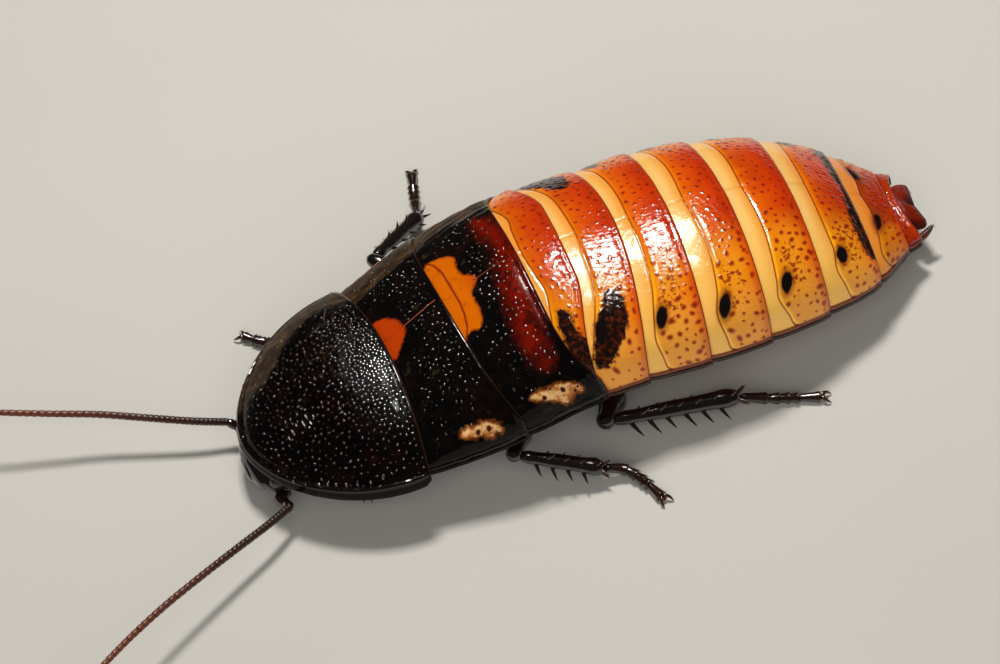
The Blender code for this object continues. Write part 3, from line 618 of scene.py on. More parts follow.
def darkPaint(name):
    # the black shield and the two dark plates behind it
    paint = Paint(name)
    step, times, scaled, noise = paint.step, paint.times, paint.scaled, paint.noise
    cloud, mist = noise(2.4, 4, 0.62), noise(1.1, 4, 0.65)
    ragged = scaled(mist, 1.5, -0.75)
    paint.colour = paint.mix(step(cloud, 0.5, 0.8), (6, 5, 5), (28, 8, 5))
    paint.lay(times("olive", step(mist, 0.58, 0.72)), (74, 62, 30), 0.55)
    paint.lay(step(paint.add("red", ragged), -0.7, 1.3), (118, 17, 3), 0.92)
    paint.lay(step(noise(1.3, 4, 0.65), 0.46, 0.62), (16, 8, 6), 0.72)

    # brown-grey, finely pitted flange
    dusty = paint.ramp(noise(1.3, 5, 0.7, stretch=(1, 1.6, 1)),
                       ((0.3, (24, 15, 9)), (0.5, (56, 38, 21)), (0.72, (106, 80, 50))))
    pits = step(paint.cells(0.34), 0.2, 0.08)
    dusty = paint.mix(times(pits, 0.75), dusty, (26, 17, 13))
    flange = step(paint.add("matt", times(ragged, 0.7)), 0.15, 0.75)
    paint.lay(flange, dusty, 0.78)

    # orange at the front middle, with a thin dark line across it
    edge = scaled(noise(0.5, 3, 0.6), 0.5, -0.25)
    orange = paint.add("orange", edge)
    glow = paint.mix("golden", (170, 50, 7), (206, 104, 3))
    glow = paint.mix(times(cloud, 0.3), glow, (190, 50, 4))
    glow = paint.mix(times(step(mist, 0.52, 0.7), 0.5), glow, (140, 40, 4))
    paint.lay(step(orange, -0.2, 0.14), glow)
    thin = times(paint.near("line", 0.13, 0.05), step(orange, -0.5, -0.1))
    paint.lay(thin, (118, 28, 10), 0.85)

    # pale side spots with brown rims, and the dark dots in them
    pale = scaled(edge, 1.7, "pale")
    paint.lay(step(pale, -0.24, 0.04), (112, 56, 16))
    cream = paint.mix(step(noise(0.7, 3, 0.65), 0.36, 0.6), (178, 100, 40), (230, 184, 124))
    paint.lay(step(pale, 0.0, 0.3), cream)
    paint.lay(step("dot", 0.05, 0.5), (66, 26, 12))
    # the rust line along the middle, the hind margin and the side
    rust = paint.mix(step(orange, -0.1, 0.1), (190, 84, 40), (150, 44, 8))
    paint.lay(paint.near("median", 0.07, 0.02), rust, 0.85)
    paint.lay(step("rear", 0.12, 0.05), (62, 28, 14), 0.5)
    paint.lay(step("rim", 0.32, 0.12), (8, 5, 5), 0.9)

    paint.bump(noise(0.14, 3, 0.65), 0.02, 0.6)
    paint.bump(noise(0.6, 3, 0.55), 0.03, 0.6)
    paint.bump(times(pits, flange), -0.03, 0.8)
    paint.bump(times(step(paint.cells(0.22), 0.5, 0.08), "crowd"), 0.07, 1.0)
    rough = scaled(flange, 0.3, scaled(noise(0.25, 3, 0.6), 0.1, 0.08))
    # the rolled rim and the hind edge shine most, the flange and the crowded granules' ground least
    rolled = times(step("rim", 0.42, 0.24), step("rim", 0.0, 0.07))
    bright = paint.calc("MAXIMUM", rolled, times(step("rear", 0.36, 0.2), 0.5))
    dull = paint.calc("MAXIMUM", "crowd", flange)
    shine = paint.calc("MAXIMUM", bright, scaled(dull, -0.2, 0.2))
    return paint.done(scaled("crowd", 0.24, rough), coat=shine, coatRough=0.05, ior=1.14)


def outlineField(along, across, outline):
    # millimetres to the outline, above zero inside it
    points = np.array(outline, float)
    far = np.full(along.shape, 1e9)
    inside = np.zeros(along.shape, bool)
    for (x0, y0), (x1, y1) in zip(points, np.roll(points, -1, axis=0)):
        dx, dy = x1 - x0, y1 - y0
        s = np.clip(((along - x0) * dx + (across - y0) * dy) / (dx * dx + dy * dy + 1e-9), 0, 1)
        far = np.minimum(far, np.hypot(along - x0 - s * dx, across - y0 - s * dy))
        if y0 != y1:
            crosses = ((y0 > across) != (y1 > across)) & (along < dx * (across - y0) / dy + x0)
            inside ^= crosses
    return np.where(inside, far, -far)


def scatter(count, spacing, low, high, wanted, seed):
    # up to count places, none closer than the spacing; wanted gives the odds of keeping one
    own = np.random.default_rng(seed)
    kept = np.zeros((0, 2))
    for _ in range(count * 6):
        spot = own.uniform(low, high)
        if own.random() > wanted(*spot):
            continue
        if len(kept) and np.hypot(*(kept - spot).T).min() < spacing:
            continue
        kept = np.vstack([kept, spot])
        if len(kept) >= count:
            break
    return kept


class Plate:
    # one plate of the back, with its shares across, its length there and the run outwards there
    def __init__(self, index, columns):
        self.index, self.name, self.t = index, body["plates"][index][0], halfWave(columns)
        front, rear = plateLine(index - 1, self.t), plateLine(index, self.t)
        self.length = front - rear
        x = (front + rear) / 2
        half, height = curveAt(x, body["sections"]), curveAt(x, body["sections"], 2)
        run = runOf(np.stack([half * self.t, height * archOf(self.t)], -1))
        self.run = run - np.interp(0, self.t, run)

    def at(self, out, values):
        return float(np.interp(out, self.run, values))

    def layFlat(self, u):
        # every point in millimetres along and out, and its way to the side and the hind margin
        self.u, self.along = u, u * self.length
        self.out, self.across = [np.broadcast_to(row, u.shape) for row in (self.run, self.t)]
        self.rim = self.run[-1] - np.abs(self.out) * self.run[-1] / np.abs(self.run).max()
        slope = np.gradient(plateLine(self.index, self.t), self.run)
        self.rear = np.maximum(0, (1 - u) * self.length) / np.sqrt(1 + slope**2)

    def spot(self, along, across):
        # a place in shares as millimetres along and out
        return (along * float(np.interp(across, self.t, self.length)),
                float(np.interp(across, self.t, self.run)))

    def mark(self, outline, bothSides=True):
        # millimetres to an outline, above zero inside it
        if not outline:
            return np.full(self.u.shape, -9.0)
        points = [self.spot(*corner) for corner in outline]
        for _ in range(2):
            # each pass cuts all corners
            points = [tuple(np.array(a) * (1 - s) + np.array(b) * s)
                      for a, b in zip(points, points[1:] + points[:1]) for s in (0.25, 0.75)]
        return outlineField(self.along, np.abs(self.out) if bothSides else self.out, points)


def backPoint(index, u, t, lift=0.0, spread=0.0):
    # a point of a plate's outer face; lift is taken at the midline
    front, rear = plateLine(index - 1, t), plateLine(index, t)
    x = front + (rear - front) * u
    half = curveAt(x, body["sections"]) + spread
    z = marginHeight(x) + (curveAt(x, body["sections"], 2) + lift) * archOf(t)
    return place(x, half * t, z)


def spreadOut(values, sides, bellyValue, low=0.0):
    # top columns, then the left rim, the belly and the right rim, each taking its neighbour's value
    left = np.repeat(values[:, -1:] + low, sides, axis=1)
    right = np.repeat(values[:, :1] + low, sides, axis=1)
    return np.concatenate([values, left, bellyValue, right], axis=1)


def thoraxFields(plate):
    # the fields of a dark plate, and what is raised on it
    u, t, across, length, marks = plate.u, plate.t, plate.across, plate.length, thorax[plate.name]
    isRear = plate.name == "metathorax"
    dot = np.zeros(u.shape)
    for along, out, size in marks["dots"]:
        a, b = plate.spot(along, out)
        gap = np.hypot(plate.along - a, (np.abs(plate.out) - b) * 0.8)
        dot = np.maximum(dot, 1 - gap / size)
    first, last, middle = marks["median"]
    past = np.maximum(np.maximum(first - u, u - last), 0) * length
    median = np.hypot(plate.out - np.interp(middle, t, plate.run), past * 4)
    line = (u - np.interp(t, *np.array(thorax["line"]).T)) * length if isRear else 0 * u + afar["line"]
    matt = smoothStep(-across, marks["mattFrom"] - 0.03, marks["mattFrom"] + 0.08)
    olive = (0.4 + isRear * hump(across, -0.45, 0.2) * hump(u, 0.35, 0.35)) * smoothStep(u, 0.98, 0.7)
    golden = (1 - 0.6 * smoothStep(u, 0.25, 0.45)) * marks["golden"]
    raised = (0.05 * hump(plate.rear, 0.2, 0.16) - 0.03 * hump(plate.rear, 0.55, 0.2)
              - 0.02 * hump(median, 0, 0.12) - 0.02 * hump(line, 0, 0.1)
              + 0.03 * ripple(plate.along, plate.out, 1.3, plate.index + 60)
              * smoothStep(np.abs(across), 0.45, 0.75))
    return {"orange": plate.mark(marks["orange"], False), "pale": plate.mark(marks["pale"]),
            "red": plate.mark(marks["red"], False), "dot": dot, "median": median, "line": line,
            "matt": matt, "olive": olive, "crowd": 0.15 * hump(across, 0.2, 0.4),
            "golden": golden, "share": u}, raised


def abdomenFields(plate):
    # the fields of an amber plate, and what is raised on it
    u, t, length, rim, marks = plate.u, plate.t, plate.length, plate.rim, abdomen["plates"][plate.name]
    lineAt = curveAt(np.abs(t), marks["line"])
    slope = np.gradient(plateLine(plate.index - 1, t) - lineAt * length, plate.run)
    line = (u - lineAt) * length / np.sqrt(1 + slope**2)
    # near the side the line bends back along the rim
    near = np.maximum(0.9 - np.abs(line - rim + 0.14), 0)
    line = np.minimum(line, rim - 0.14) - near**2 / 3.6
    spot, worm = 0 * u + afar["spot"], 0 * u
    if "spot" in marks:
        along, across, halfOut, halfWide, degrees = marks["spot"]
        a, b = plate.spot(along, across)
        x, y = plate.along - a, np.abs(plate.out) - b
        ahead, off = turned(x, y, math.radians(degrees))
        spot = (1 - np.hypot(ahead / halfOut, off / halfWide)) * halfWide
        worm = 1 - np.hypot((x - 1.0) / 1.25, (y + 1.3) / 2.5)
    dot = dotField(plate, lineAt)
    disc = smoothStep(line, 0, 0.5)
    raised = (0.05 * disc - 0.055 * hump(line, 0, 0.11) - 0.03 * hump(plate.out, 0, 0.16) * (1 - disc)
              + 0.035 * smoothStep(dot, 0.05, 0.7) - 0.015 * smoothStep(dot, 0.7, 1)
              + 0.03 * hump(plate.rear, 0.14, 0.12) - 0.03 * hump(plate.rear, 0.42, 0.2)
              + 0.009 * ripple(plate.along * 0.5, plate.out, 0.32, plate.index + 20) * disc)
    return {"line": line, "share": np.clip((u - lineAt) / (1 - lineAt), 0, 1),
            "redness": 0 * u + marks["redness"], "crease": plate.out, "spot": spot, "worm": worm,
            "smear": plate.mark(marks.get("smear"), plate.name != "abdomen_1"), "dot": dot}, raised


def makeSegment(index, topPaint, underPaint):
    plate = Plate(index, abdomen["columns"])
    isThorax = "thorax" in plate.name
    count = max(abdomen["fewestRows"], int(plate.length.max() / abdomen["rowStep"]))
    openRows = 1 - (1 - np.linspace(0, 1, count)[:, None]) ** abdomen["rowCrowding"]
    back, deep = np.array(abdomen["lip"]).T

    def sharesFor(length):
        # hidden front, the open plate, then back in under the lip
        tuck, lip = abdomen["tuck"] / length, 1 - back[:, None] / length
        return np.concatenate([np.stack([-tuck, -tuck / 2]), np.tile(openRows, len(length)), lip])

    u = sharesFor(plate.length)
    plate.layFlat(u)
    inset = np.zeros((len(u), 1))
    inset[-len(deep):, 0] = deep
    fields, raised = thoraxFields(plate) if isThorax else abdomenFields(plate)
    fields.update(across=plate.across, rear=plate.rear, rim=plate.rim)
    raised += 0.012 * ripple(plate.along, plate.out, 2.6, index)
    raised += 0.004 * ripple(plate.along, plate.out, 0.7, index + 40)
    raised += 0.06 * hump(plate.rim, 0.15, 0.1) - 0.05 * hump(plate.rim, 0.4, 0.14)
    top = backPoint(index, u, plate.t, np.interp(u, *abdomen["lift"]), np.interp(u, *abdomen["spread"]))
    normal = np.cross(np.gradient(top, axis=1), np.gradient(top, axis=0))
    normal = unit(np.where(normal[..., 2:] < 0, -normal, normal) + 1e-9)
    inward = inset * np.minimum(1, plate.rim / 0.9 + 0.12)
    top = top + normal * (raised * (inset == 0) - inward)[..., None]

    # the belly, with the same rows but fewer columns
    sides, few = abdomen["rimSteps"], abdomen["bellyColumns"]
    b = -halfWave(few)
    bLength = plateLine(index - 1, b) - plateLine(index, b)
    bu = sharesFor(bLength)
    along, toRear = bu * bLength, (1 - bu) * bLength
    x = plateLine(index - 1, b) - along
    half = curveAt(x, body["sections"]) + np.interp(bu, *abdomen["spread"])
    edge = np.minimum(1, (1 - np.abs(b)) * 9)
    under = bellyHeight(x, b) + 0.24 * smoothStep(bu, 0.3, -0.05) * edge
    under = under + (inset + 0.05 * hump(toRear, 0.5, 0.2)) * edge
    under = np.maximum(under + 0.02 * (ripple(along, half * b, 1.1, index) + 0.6) * edge, 0.0)
    half = half - inset * 0.7
    belly = place(x, half * b, under)

    # rounded rims between the two
    height = body["marginThick"] / 2
    walls = []
    for column, sign in ((0, 1), (few - 1, -1)):
        at, out = x[:, column], half[:, column]
        wall = []
        for degrees in np.linspace(90 * sign, -90 * sign, sides + 2)[1:-1]:
            a = math.radians(degrees)
            swell = abdomen["rimSwell"] * (inset[:, 0] == 0) * math.cos(a)
            wall.append(place(at, sign * (out + swell),
                              marginHeight(at) - height + height * math.sin(a) * 0.92))
        walls.append(np.stack(wall, 1))
    rings = np.concatenate([top, walls[0], belly, walls[1]], axis=1)
    hubs = [place(plateLine(index - end, 0) + ahead, 0,
                  (top[row, len(plate.t) // 2, 2] + under[row, few // 2]) / 2)
            for end, ahead, row in ((1, 0.3, 0), (0, 0.55, -1))]
    skin = tubeOf(rings, hubs)

    empty = 0 * bu
    bellyValues = {"across": b + empty, "share": bu, "rear": toRear}
    given = {key: spreadOut(values, sides, bellyValues.get(key, empty + afar.get(key, 0)), -(key == "rim"))
             for key, values in fields.items()}
    given = {key: np.concatenate([values.ravel(), [0, 0]]) for key, values in given.items()}
    given["dark"] = 0.85 if isThorax else 0.0
    cols = rings.shape[1]
    column = np.tile(np.arange(cols), len(u) - 1)
    isBelly = (column >= len(plate.t) + sides - 1) & (column < len(plate.t) + sides + few)
    kinds = np.concatenate([isBelly.astype(int), np.ones(2 * cols, int)])
    meshPiece(plate.name + "_shell", skin, [topPaint, underPaint], [plate.name], given, kinds)


def dotField(plate, lineAt):
    # raised dots over the disc, larger to the sides and along the hind margin
    spacing = abdomen["lastDotSpacing" if plate.name == "abdomen_8" else "dotSpacing"]
    low = (0.0, plate.run[0] + 0.35)
    high = (float(plate.length.max()), plate.run[-1] - 0.35)

    def wanted(along, out):
        length, front = plate.at(out, plate.length), plate.at(out, lineAt)
        if along < front * length + 0.35 or along > length - 0.3:
            return 0.0
        return 1.0 - 0.6 * plate.at(out, plate.t) ** 2

    places = scatter(abdomen["dots"], spacing, low, high, wanted, 100 + plate.index)
    own = np.random.default_rng(200 + plate.index)
    dot = np.zeros(plate.u.shape)
    small, large = abdomen["dotSize"]
    for along, out in places:
        side = abs(plate.at(out, plate.t))
        size = small + (large - small) * own.random() ** 2.2 * (0.3 + 0.7 * side)
        turn, long = own.uniform(0, math.pi), own.uniform(1.0, 1.7)
        near = (np.abs(plate.along - along) < 0.8) & (np.abs(plate.out - out) < 0.8)
        a, c = turned(plate.along[near] - along, plate.out[near] - out, turn)
        dot[near] = np.maximum(dot[near], 1 - np.hypot(a / long, c) / size)
    # a denser row close to the hind margin
    for out in np.arange(plate.run[0] + 0.7, plate.run[-1] - 0.6, abdomen["hindDotStep"]):
        at = out + own.uniform(-0.4, 0.4)
        size = own.uniform(*abdomen["hindDotSize"])
        along = plate.at(at, plate.length) - own.uniform(0.42, 0.62)
        dot = np.maximum(dot, 1 - np.hypot(plate.along - along, plate.out - at) / size)
    return dot


# the pronotum

shield = {
    "middle": 29.6,
    "length": 11.75,
    "halfWidth": 11.15,
    "height": 4.95,
    "nosePower": 1.82,
    "sidePower": 1.78,
    "root": 0.66,
    "frontSoftness": 0.24,
    "hollow": 0.45,
    "centre": (33.6, 0.0),
    "around": 560,
    "rings": 110,
    "granules": 1400,
    "granuleTries": 26000,
    "granuleArea": ((27.9, 41.2), (-11.0, 11.0)),
    "granuleSize": (0.045, 0.09),
    "granuleCell": 0.35,
    # dents: along, across, half length, half width, depth
    "dents": ((34.4, -3.3, 1.5, 1.6, 0.27), (34.6, 3.4, 1.4, 1.5, 0.22), (32.0, -5.6, 1.2, 1.0, 0.16),
              (36.9, -1.2, 1.3, 1.2, 0.12), (31.2, 0.4, 1.6, 1.1, 0.08), (37.6, -5.2, 1.0, 1.4, 0.12),
              (32.0, 5.9, 1.2, 1.0, 0.1), (33.2, -1.1, 0.7, 0.5, -0.1), (35.4, -1.6, 0.4, 1.4, -0.12)),
    # larger knobs in a row inside each edge, where the rim turns down: along, across
    "knobs": ((37.3, 7.3), (36.7, 7.75), (36.1, 8.15), (35.4, 8.65), (34.6, 9.1), (33.6, 9.55),
              (38.2, 6.6), (39.0, 5.8), (32.6, 9.85)),
    "knobSize": 0.12,
    # rows round the edge: degrees, and at the hind margin how far down and how far inwards
    "edgeRows": ((55, 0.05, 0.0), (15, 0.16, 0.0), (-25, 0.22, 0.06), (-65, 0.26, 0.75)),
    "underRings": 26,
}


def shieldReach(x, across):
    # 0 at the middle, 1 at the edge
    ahead = np.maximum(0, (x - shield["middle"]) / shield["length"])
    return ahead ** shield["nosePower"] + (np.abs(across) / shield["halfWidth"]) ** shield["sidePower"]


def shieldRise(x, across):
    ahead = np.maximum(0, (x - shield["middle"]) / shield["length"])
    side = np.abs(across) / shield["halfWidth"]
    frontal = ahead**2 / (ahead**2 + side**2 + 1e-9)
    root = shield["root"] + shield["frontSoftness"] * frontal
    power = body["archPower"] / shield["sidePower"]
    rise = np.maximum(0, 1 - shieldReach(x, across) ** power) ** root
    return (shield["height"] - 0.12 * np.maximum(0, shield["middle"] - x)) * rise


def shieldUnder(x, across):
    return marginHeight(x) - body["marginThick"] + shield["hollow"] * shieldRise(x, across)


def shieldOutline():
    # the whole edge seen from above, from the right corner round the nose to the left corner and
    # back along the hind margin, evenly spaced; the second value says how much it is hind margin
    turns = np.linspace(-math.pi / 2, math.pi / 2, 2001)
    x = shield["middle"] + shield["length"] * np.cos(turns).clip(0) ** (2 / shield["nosePower"])
    side = np.abs(np.sin(turns)) ** (2 / shield["sidePower"]) * np.sign(turns) * shield["halfWidth"]
    share = np.linspace(1, -1, 801)
    hindX, hindSide = plateLine(0, share) + 0.02, shield["halfWidth"] * share * 0.997
    edge = np.concatenate([np.stack([x, side], -1), np.stack([hindX, hindSide], -1)])
    run = runOf(edge)
    corner, around = run[len(turns) - 1], shield["around"]
    frontCount = round(around * corner / run[-1])
    s = np.concatenate([np.linspace(0, corner, frontCount, endpoint=False),
                        np.linspace(corner, run[-1], around - frontCount, endpoint=False)])
    hind = smoothStep(s, corner + 0.1, corner + 0.9) * smoothStep(s, run[-1] - 0.1, run[-1] - 0.9)
    return onRoute(s, run, edge), hind


def shieldDetail(x, across, fromEdge, hind):
    # what is added to the plain dome: dents, wrinkles and the rolled rim
    raised = 0.02 * ripple(x, across, 3.1, 5) + 0.008 * ripple(x, across, 0.8, 6)
    for atX, atSide, halfX, halfSide, depth in shield["dents"]:
        raised = raised - depth * hump(x, atX, halfX) * hump(across, atSide, halfSide)
    # short ridges that run with the outline over the front
    swirl = np.hypot(x - 30.5, across * 0.9) + 0.25 * np.sin(np.arctan2(across, x - 30.5) * 7)
    field = hump(x, 37.2, 1.9) * hump(across, 2.0, 3.0) + 0.03 * smoothStep(x, 33.5, 36.5)
    field = field * smoothStep(fromEdge, 0.5, 1.4) * np.clip(0.4 + ripple(x, across, 1.0, 9), 0, 1)
    raised = raised + 0.085 * field * np.sin(swirl * 2 * math.pi / 0.5)
    knot = hump(x, 34.4, 2.0) * hump(across, -3.2, 2.4)
    raised = raised + 0.012 * knot * ripple(x, across, 0.9, 11)
    raised = raised + (1 - hind) * (0.2 * hump(fromEdge, 0.13, 0.15) - 0.18 * hump(fromEdge, 0.5, 0.24))
    return raised + hind * (0.04 * hump(fromEdge, 0.2, 0.15) - 0.03 * hump(fromEdge, 0.55, 0.25))


def shieldTop(x, across, fromEdge, hind):
    z = marginHeight(x) + shieldRise(x, across)
    return place(x, across, z + shieldDetail(x, across, fromEdge, hind))


def makeShield(paintOn, underPaint):
    edge, hind = shieldOutline()
    centre = np.array(shield["centre"])
    out = edge - centre
    tangent = unit(np.roll(edge, -1, axis=0) - np.roll(edge, 1, axis=0))
    inward = np.stack([-tangent[:, 1], tangent[:, 0]], -1)
    inward = np.where((inward * out).sum(-1, keepdims=True) > 0, -inward, inward)
    depth = np.abs((out * inward).sum(-1))
    shares = 1 - (1 - np.linspace(0, 1, shield["rings"])[1:]) ** 1.25
    flat = centre + shares[:, None, None] * out
    fromEdge = (1 - shares[:, None]) * depth
    x, across = flat[..., 0], flat[..., 1]
    hinds = np.broadcast_to(hind, x.shape)
    top = shieldTop(x, across, fromEdge, hinds)

    # the edge: a rolled bead in front, a thin lip over the mesothorax behind
    zTop = marginHeight(edge[:, 0]) + shieldRise(*edge.T)
    height = body["marginThick"] / 2
    rows = []
    for degrees, drop, inset in shield["edgeRows"]:
        a = math.radians(degrees)
        bead = zTop - height + height * math.sin(a)
        moved = -0.1 * math.cos(a) * (1 - hind) + inset * hind
        at = (edge + inward * moved[:, None]).T
        lip = marginHeight(at[0]) + shieldRise(*at) - drop
        rows.append(place(*at, bead * (1 - hind) + lip * hind))

    # the hollow underside, from the edge in to its middle
    start = edge + inward * (0.1 + 0.7 * hind)[:, None] - centre
    for share in np.linspace(1, 0, shield["underRings"])[:-1]:
        at = (centre + start * share).T
        groove = 0.1 * hump((1 - share) * depth, 0.5, 0.4) if share < 1 else 0.0
        rows.append(place(*at, shieldUnder(*at) - groove))
    under = np.stack(rows)
    rings = np.concatenate([top, under])
    skin = tubeOf(rings, (shieldTop(*centre, 9.0, 0.0), place(*centre, shieldUnder(*centre))))

    right = smoothStep(-across, 2.2, 5.5)
    matt = right * smoothStep(fromEdge, 3.9, 2.2) + 0.12 * smoothStep(fromEdge, 1.6, 0.4)
    fields = {key: afar[key] for key in ("red", "orange", "pale", "line", "median")}
    fields.update(golden=0.0, dot=0.0, share=0.5, dark=0.7, across=across / shield["halfWidth"],
                  matt=matt * (1 - hinds * smoothStep(-across, 8.6, 6.0)),
                  rear=np.where(hinds > 0.5, fromEdge, afar["rear"]),
                  rim=np.where(hinds > 0.5, afar["rim"], fromEdge),
                  olive=hump(across, -2.6, 3.2) * hump(x, 33.0, 3.6),
                  crowd=hump(x, 29.6, 3.4) * hump(across, 1.5, 5.5))
    given = {}
    for key, values in fields.items():
        # the underside takes the values of the edge above it
        values = np.broadcast_to(values, x.shape)
        hubs = {**afar, "dark": 0.7}.get(key, 0.0), values[-1].mean()
        given[key] = np.concatenate([values.ravel(), np.tile(values[-1], len(under)), hubs])
    row, cols = np.arange(len(rings) - 1), rings.shape[1]
    kinds = np.concatenate([np.repeat(row >= len(top) + 3, cols), np.zeros(cols), np.ones(cols)])
    meshPiece("pronotum_shield", skin, [paintOn, underPaint], ["pronotum"], given, kinds)


def domes(places, normals, longWay, halfLong, halfWide, heights, sides=7):
    # many small granules as one mesh
    turns, rings = circle(sides), ((1.0, -0.35), (0.86, 0.3), (0.5, 0.82))
    longWay = unit(longWay - (longWay * normals).sum(-1, keepdims=True) * normals)
    wideWay = np.cross(normals, longWay)
    shape = [[(r * math.cos(a), r * math.sin(a), h) for a in turns] for r, h in rings]
    shape = np.array([p for ring in shape for p in ring] + [(0, 0, 1.0), (0, 0, -0.5)])
    count = len(shape)
    points = (places[:, None] + shape[None, :, :1] * (longWay * halfLong[:, None])[:, None]
              + shape[None, :, 1:2] * (wideWay * halfWide[:, None])[:, None]
              + shape[None, :, 2:] * (normals * heights[:, None])[:, None]).reshape(-1, 3)
    grid = gridFaces(3, sides)
    low = capFaces(np.arange(sides), count - 1, True)
    high = capFaces(np.arange(sides) + 2 * sides, count - 2, False)
    shift = (np.arange(len(places)) * count)[:, None, None]
    faces = [(group[None] + shift).reshape(-1, group.shape[1]) for group in (grid, low, high)]
    return points, faces


def facing(point, a, b, stepA, stepB):
    # a point of a face, its normal, and the way to the left
    here = point(a, b)
    left = point(a, b + stepB) - here
    return here, unit(np.cross(point(a + stepA, b) - here, left)), unit(left)


def makeGranules(paintOn):
    # on the shield: crowded and bright behind the middle, in rows that follow the outline in front
    own = np.random.default_rng(31)
    edge, hind = shieldOutline()
    kept, cells, size = [], {}, shield["granuleCell"]
    for _ in range(shield["granuleTries"]):
        x, side = [own.uniform(*ends) for ends in shield["granuleArea"]]
        if shieldReach(x, side) > 0.97 or x < float(plateLine(0, side / shield["halfWidth"])) + 0.35:
            continue
        crowd = hump(x, 29.6, 3.2) * hump(side, 1.5, 6.0)
        front = hump(x, 38.0, 3.2) * hump(side, 2.5, 4.6)
        dusty = smoothStep(-side, 2.6, 5.6)
        if own.random() > (0.16 + 0.84 * crowd + 0.3 * front) * (1 - 0.85 * dusty):
            continue
        cell = int(x / size), int(side / size)
        near = [cells.get((cell[0] + i, cell[1] + j), ()) for i in (-1, 0, 1) for j in (-1, 0, 1)]
        space = 0.42 - 0.19 * crowd
        if any(math.hypot(x - px, side - py) < space for group in near for px, py in group):
            continue
        cells.setdefault(cell, []).append((x, side))
        kept.append((x, side, crowd))
        if len(kept) >= shield["granules"]:
            break

    def onShield(places):
        gaps = np.hypot(*(edge[None] - places[:, None]).T).T
        nearest = gaps.argmin(1)
        fromEdge, hinds = gaps.min(1), hind[nearest]
        return facing(lambda x, side: shieldTop(x, side, fromEdge, hinds), *places.T, 0.03, 0.03)

    kept = np.array(kept)
    x, side, crowd = kept.T
    here, normal, _ = onShield(kept[:, :2])
    flow = np.stack([-(side - 0.5), (x - 30.0), 0 * x], -1)
    flow[:, :2] += own.normal(0, 1.6, (len(x), 2))
    stretch = own.uniform(1.0, 1.6, len(x))
    size = own.uniform(*shield["granuleSize"], len(x)) * (0.9 + 0.6 * crowd)
    tall = size * own.uniform(0.32, 0.5, len(x)) * (1 - 0.45 * crowd)
    grains = domes(here, normal, unit(flow), size * stretch, size, tall)
    knobs = np.array(shield["knobs"])
    here, normal, left = onShield(np.concatenate([knobs, knobs * (1, -1)]))
    size = np.full(len(here), shield["knobSize"])
    skin = joined([grains, domes(here, normal, left, size * 1.6, size, size * 0.9)])
    meshPiece("pronotum_granules", skin, [paintOn], [])

    # fewer on the two plates behind it
    skins = []
    for index, count in thorax["granules"]:
        plate = Plate(index, 161)

        def wanted(u, out):
            share = plate.at(out, plate.t)
            if u < 3.2 - index * 0.2 and -0.34 - index * 0.06 < share < 0.06 + index * 0.16:
                return 0.0
            return 0.9 * hump(share, 0.1, 0.55) + 0.08 if abs(share) < 0.9 else 0.0

        spots = scatter(count, 0.4, (0.8, plate.run[0]), (6.5, plate.run[-1]), wanted, 50 + index)
        share, u = np.interp(spots[:, 1], plate.run, plate.t), spots[:, 0] / 7
        lift = np.interp(u, (0, 0.3, 0.8, 1), (-0.24, -0.07, 0.15, 0.07))
        here, normal, left = facing(lambda u, share: backPoint(index, u, share, lift, 0.02),
                                    u, share, -0.004, 0.004)
        size = own.uniform(*thorax["granuleSize"], len(u))
        skins.append(domes(here, normal, left, size * own.uniform(1, 1.5, len(u)), size, size * 0.42))
    meshPiece("thorax_granules", joined(skins), [paintOn], [])


# paints of the limbs and the head


def limbPaint(name, brown=0.2):
    # glossy black with brown thin ends; the field warm says how brown
    paint = Paint(name)
    fine = paint.noise(0.2, 3, 0.6)
    paint.colour = paint.mix(paint.times(paint.noise(1.2, 4, 0.6), brown), (10, 8, 8), (46, 18, 9))
    paint.lay("warm", (96, 38, 14), 0.75)
    paint.bump(fine, 0.02, 0.5)
    paint.bump(paint.noise(0.5, 3, 0.6), 0.035, 0.5)
    return paint.done(paint.scaled(fine, 0.14, 0.1), coat=0.9, coatRough=0.06, ior=1.6)


def lashPaint(name):
    # black beads at the root, red-brown ones further out, dusty with tiny pits
    paint = Paint(name)
    cloud = paint.noise(0.8, 3, 0.6)
    paint.colour = paint.ramp(paint.add("along", paint.times(cloud, 0.1)),
                              ((0.0, (26, 15, 12)), (0.22, (58, 27, 17)), (0.5, (104, 50, 30)),
                               (1.0, (120, 64, 40))))
    paint.lay("groove", (24, 12, 9), 0.75)
    paint.bump(paint.noise(0.09, 2, 0.6), 0.02, 0.6)
    return paint.done(paint.scaled(cloud, 0.2, 0.3), coat=0.1)


def eyePaint(name):
    paint = Paint(name)
    facets = paint.cells(0.055)
    paint.colour = paint.mix(paint.step(facets, 0.3, 0.6), (18, 13, 12), (46, 30, 24))
    paint.bump(paint.calc("SUBTRACT", 1.0, facets), 0.02, 0.7)
    return paint.done(0.14, coat=0.5, coatRough=0.05, ior=1.55)


def tailPaint(name):
    # red, darker at the rim, with pits
    paint = Paint(name)
    fine = paint.noise(0.22, 3, 0.6)
    paint.colour = paint.mix(paint.noise(1.3, 4, 0.6), (140, 32, 3), (84, 14, 2))
    paint.lay(paint.step("edge", 0.45, 0.05), (84, 16, 10))
    pits = paint.step(paint.cells(0.5), 0.18, 0.06)
    paint.lay(pits, (60, 14, 8), 0.6)
    paint.bump(fine, 0.04, 0.6)
    paint.bump(pits, -0.04, 0.7)
    return paint.done(paint.scaled(fine, 0.14, 0.34), ior=1.22)


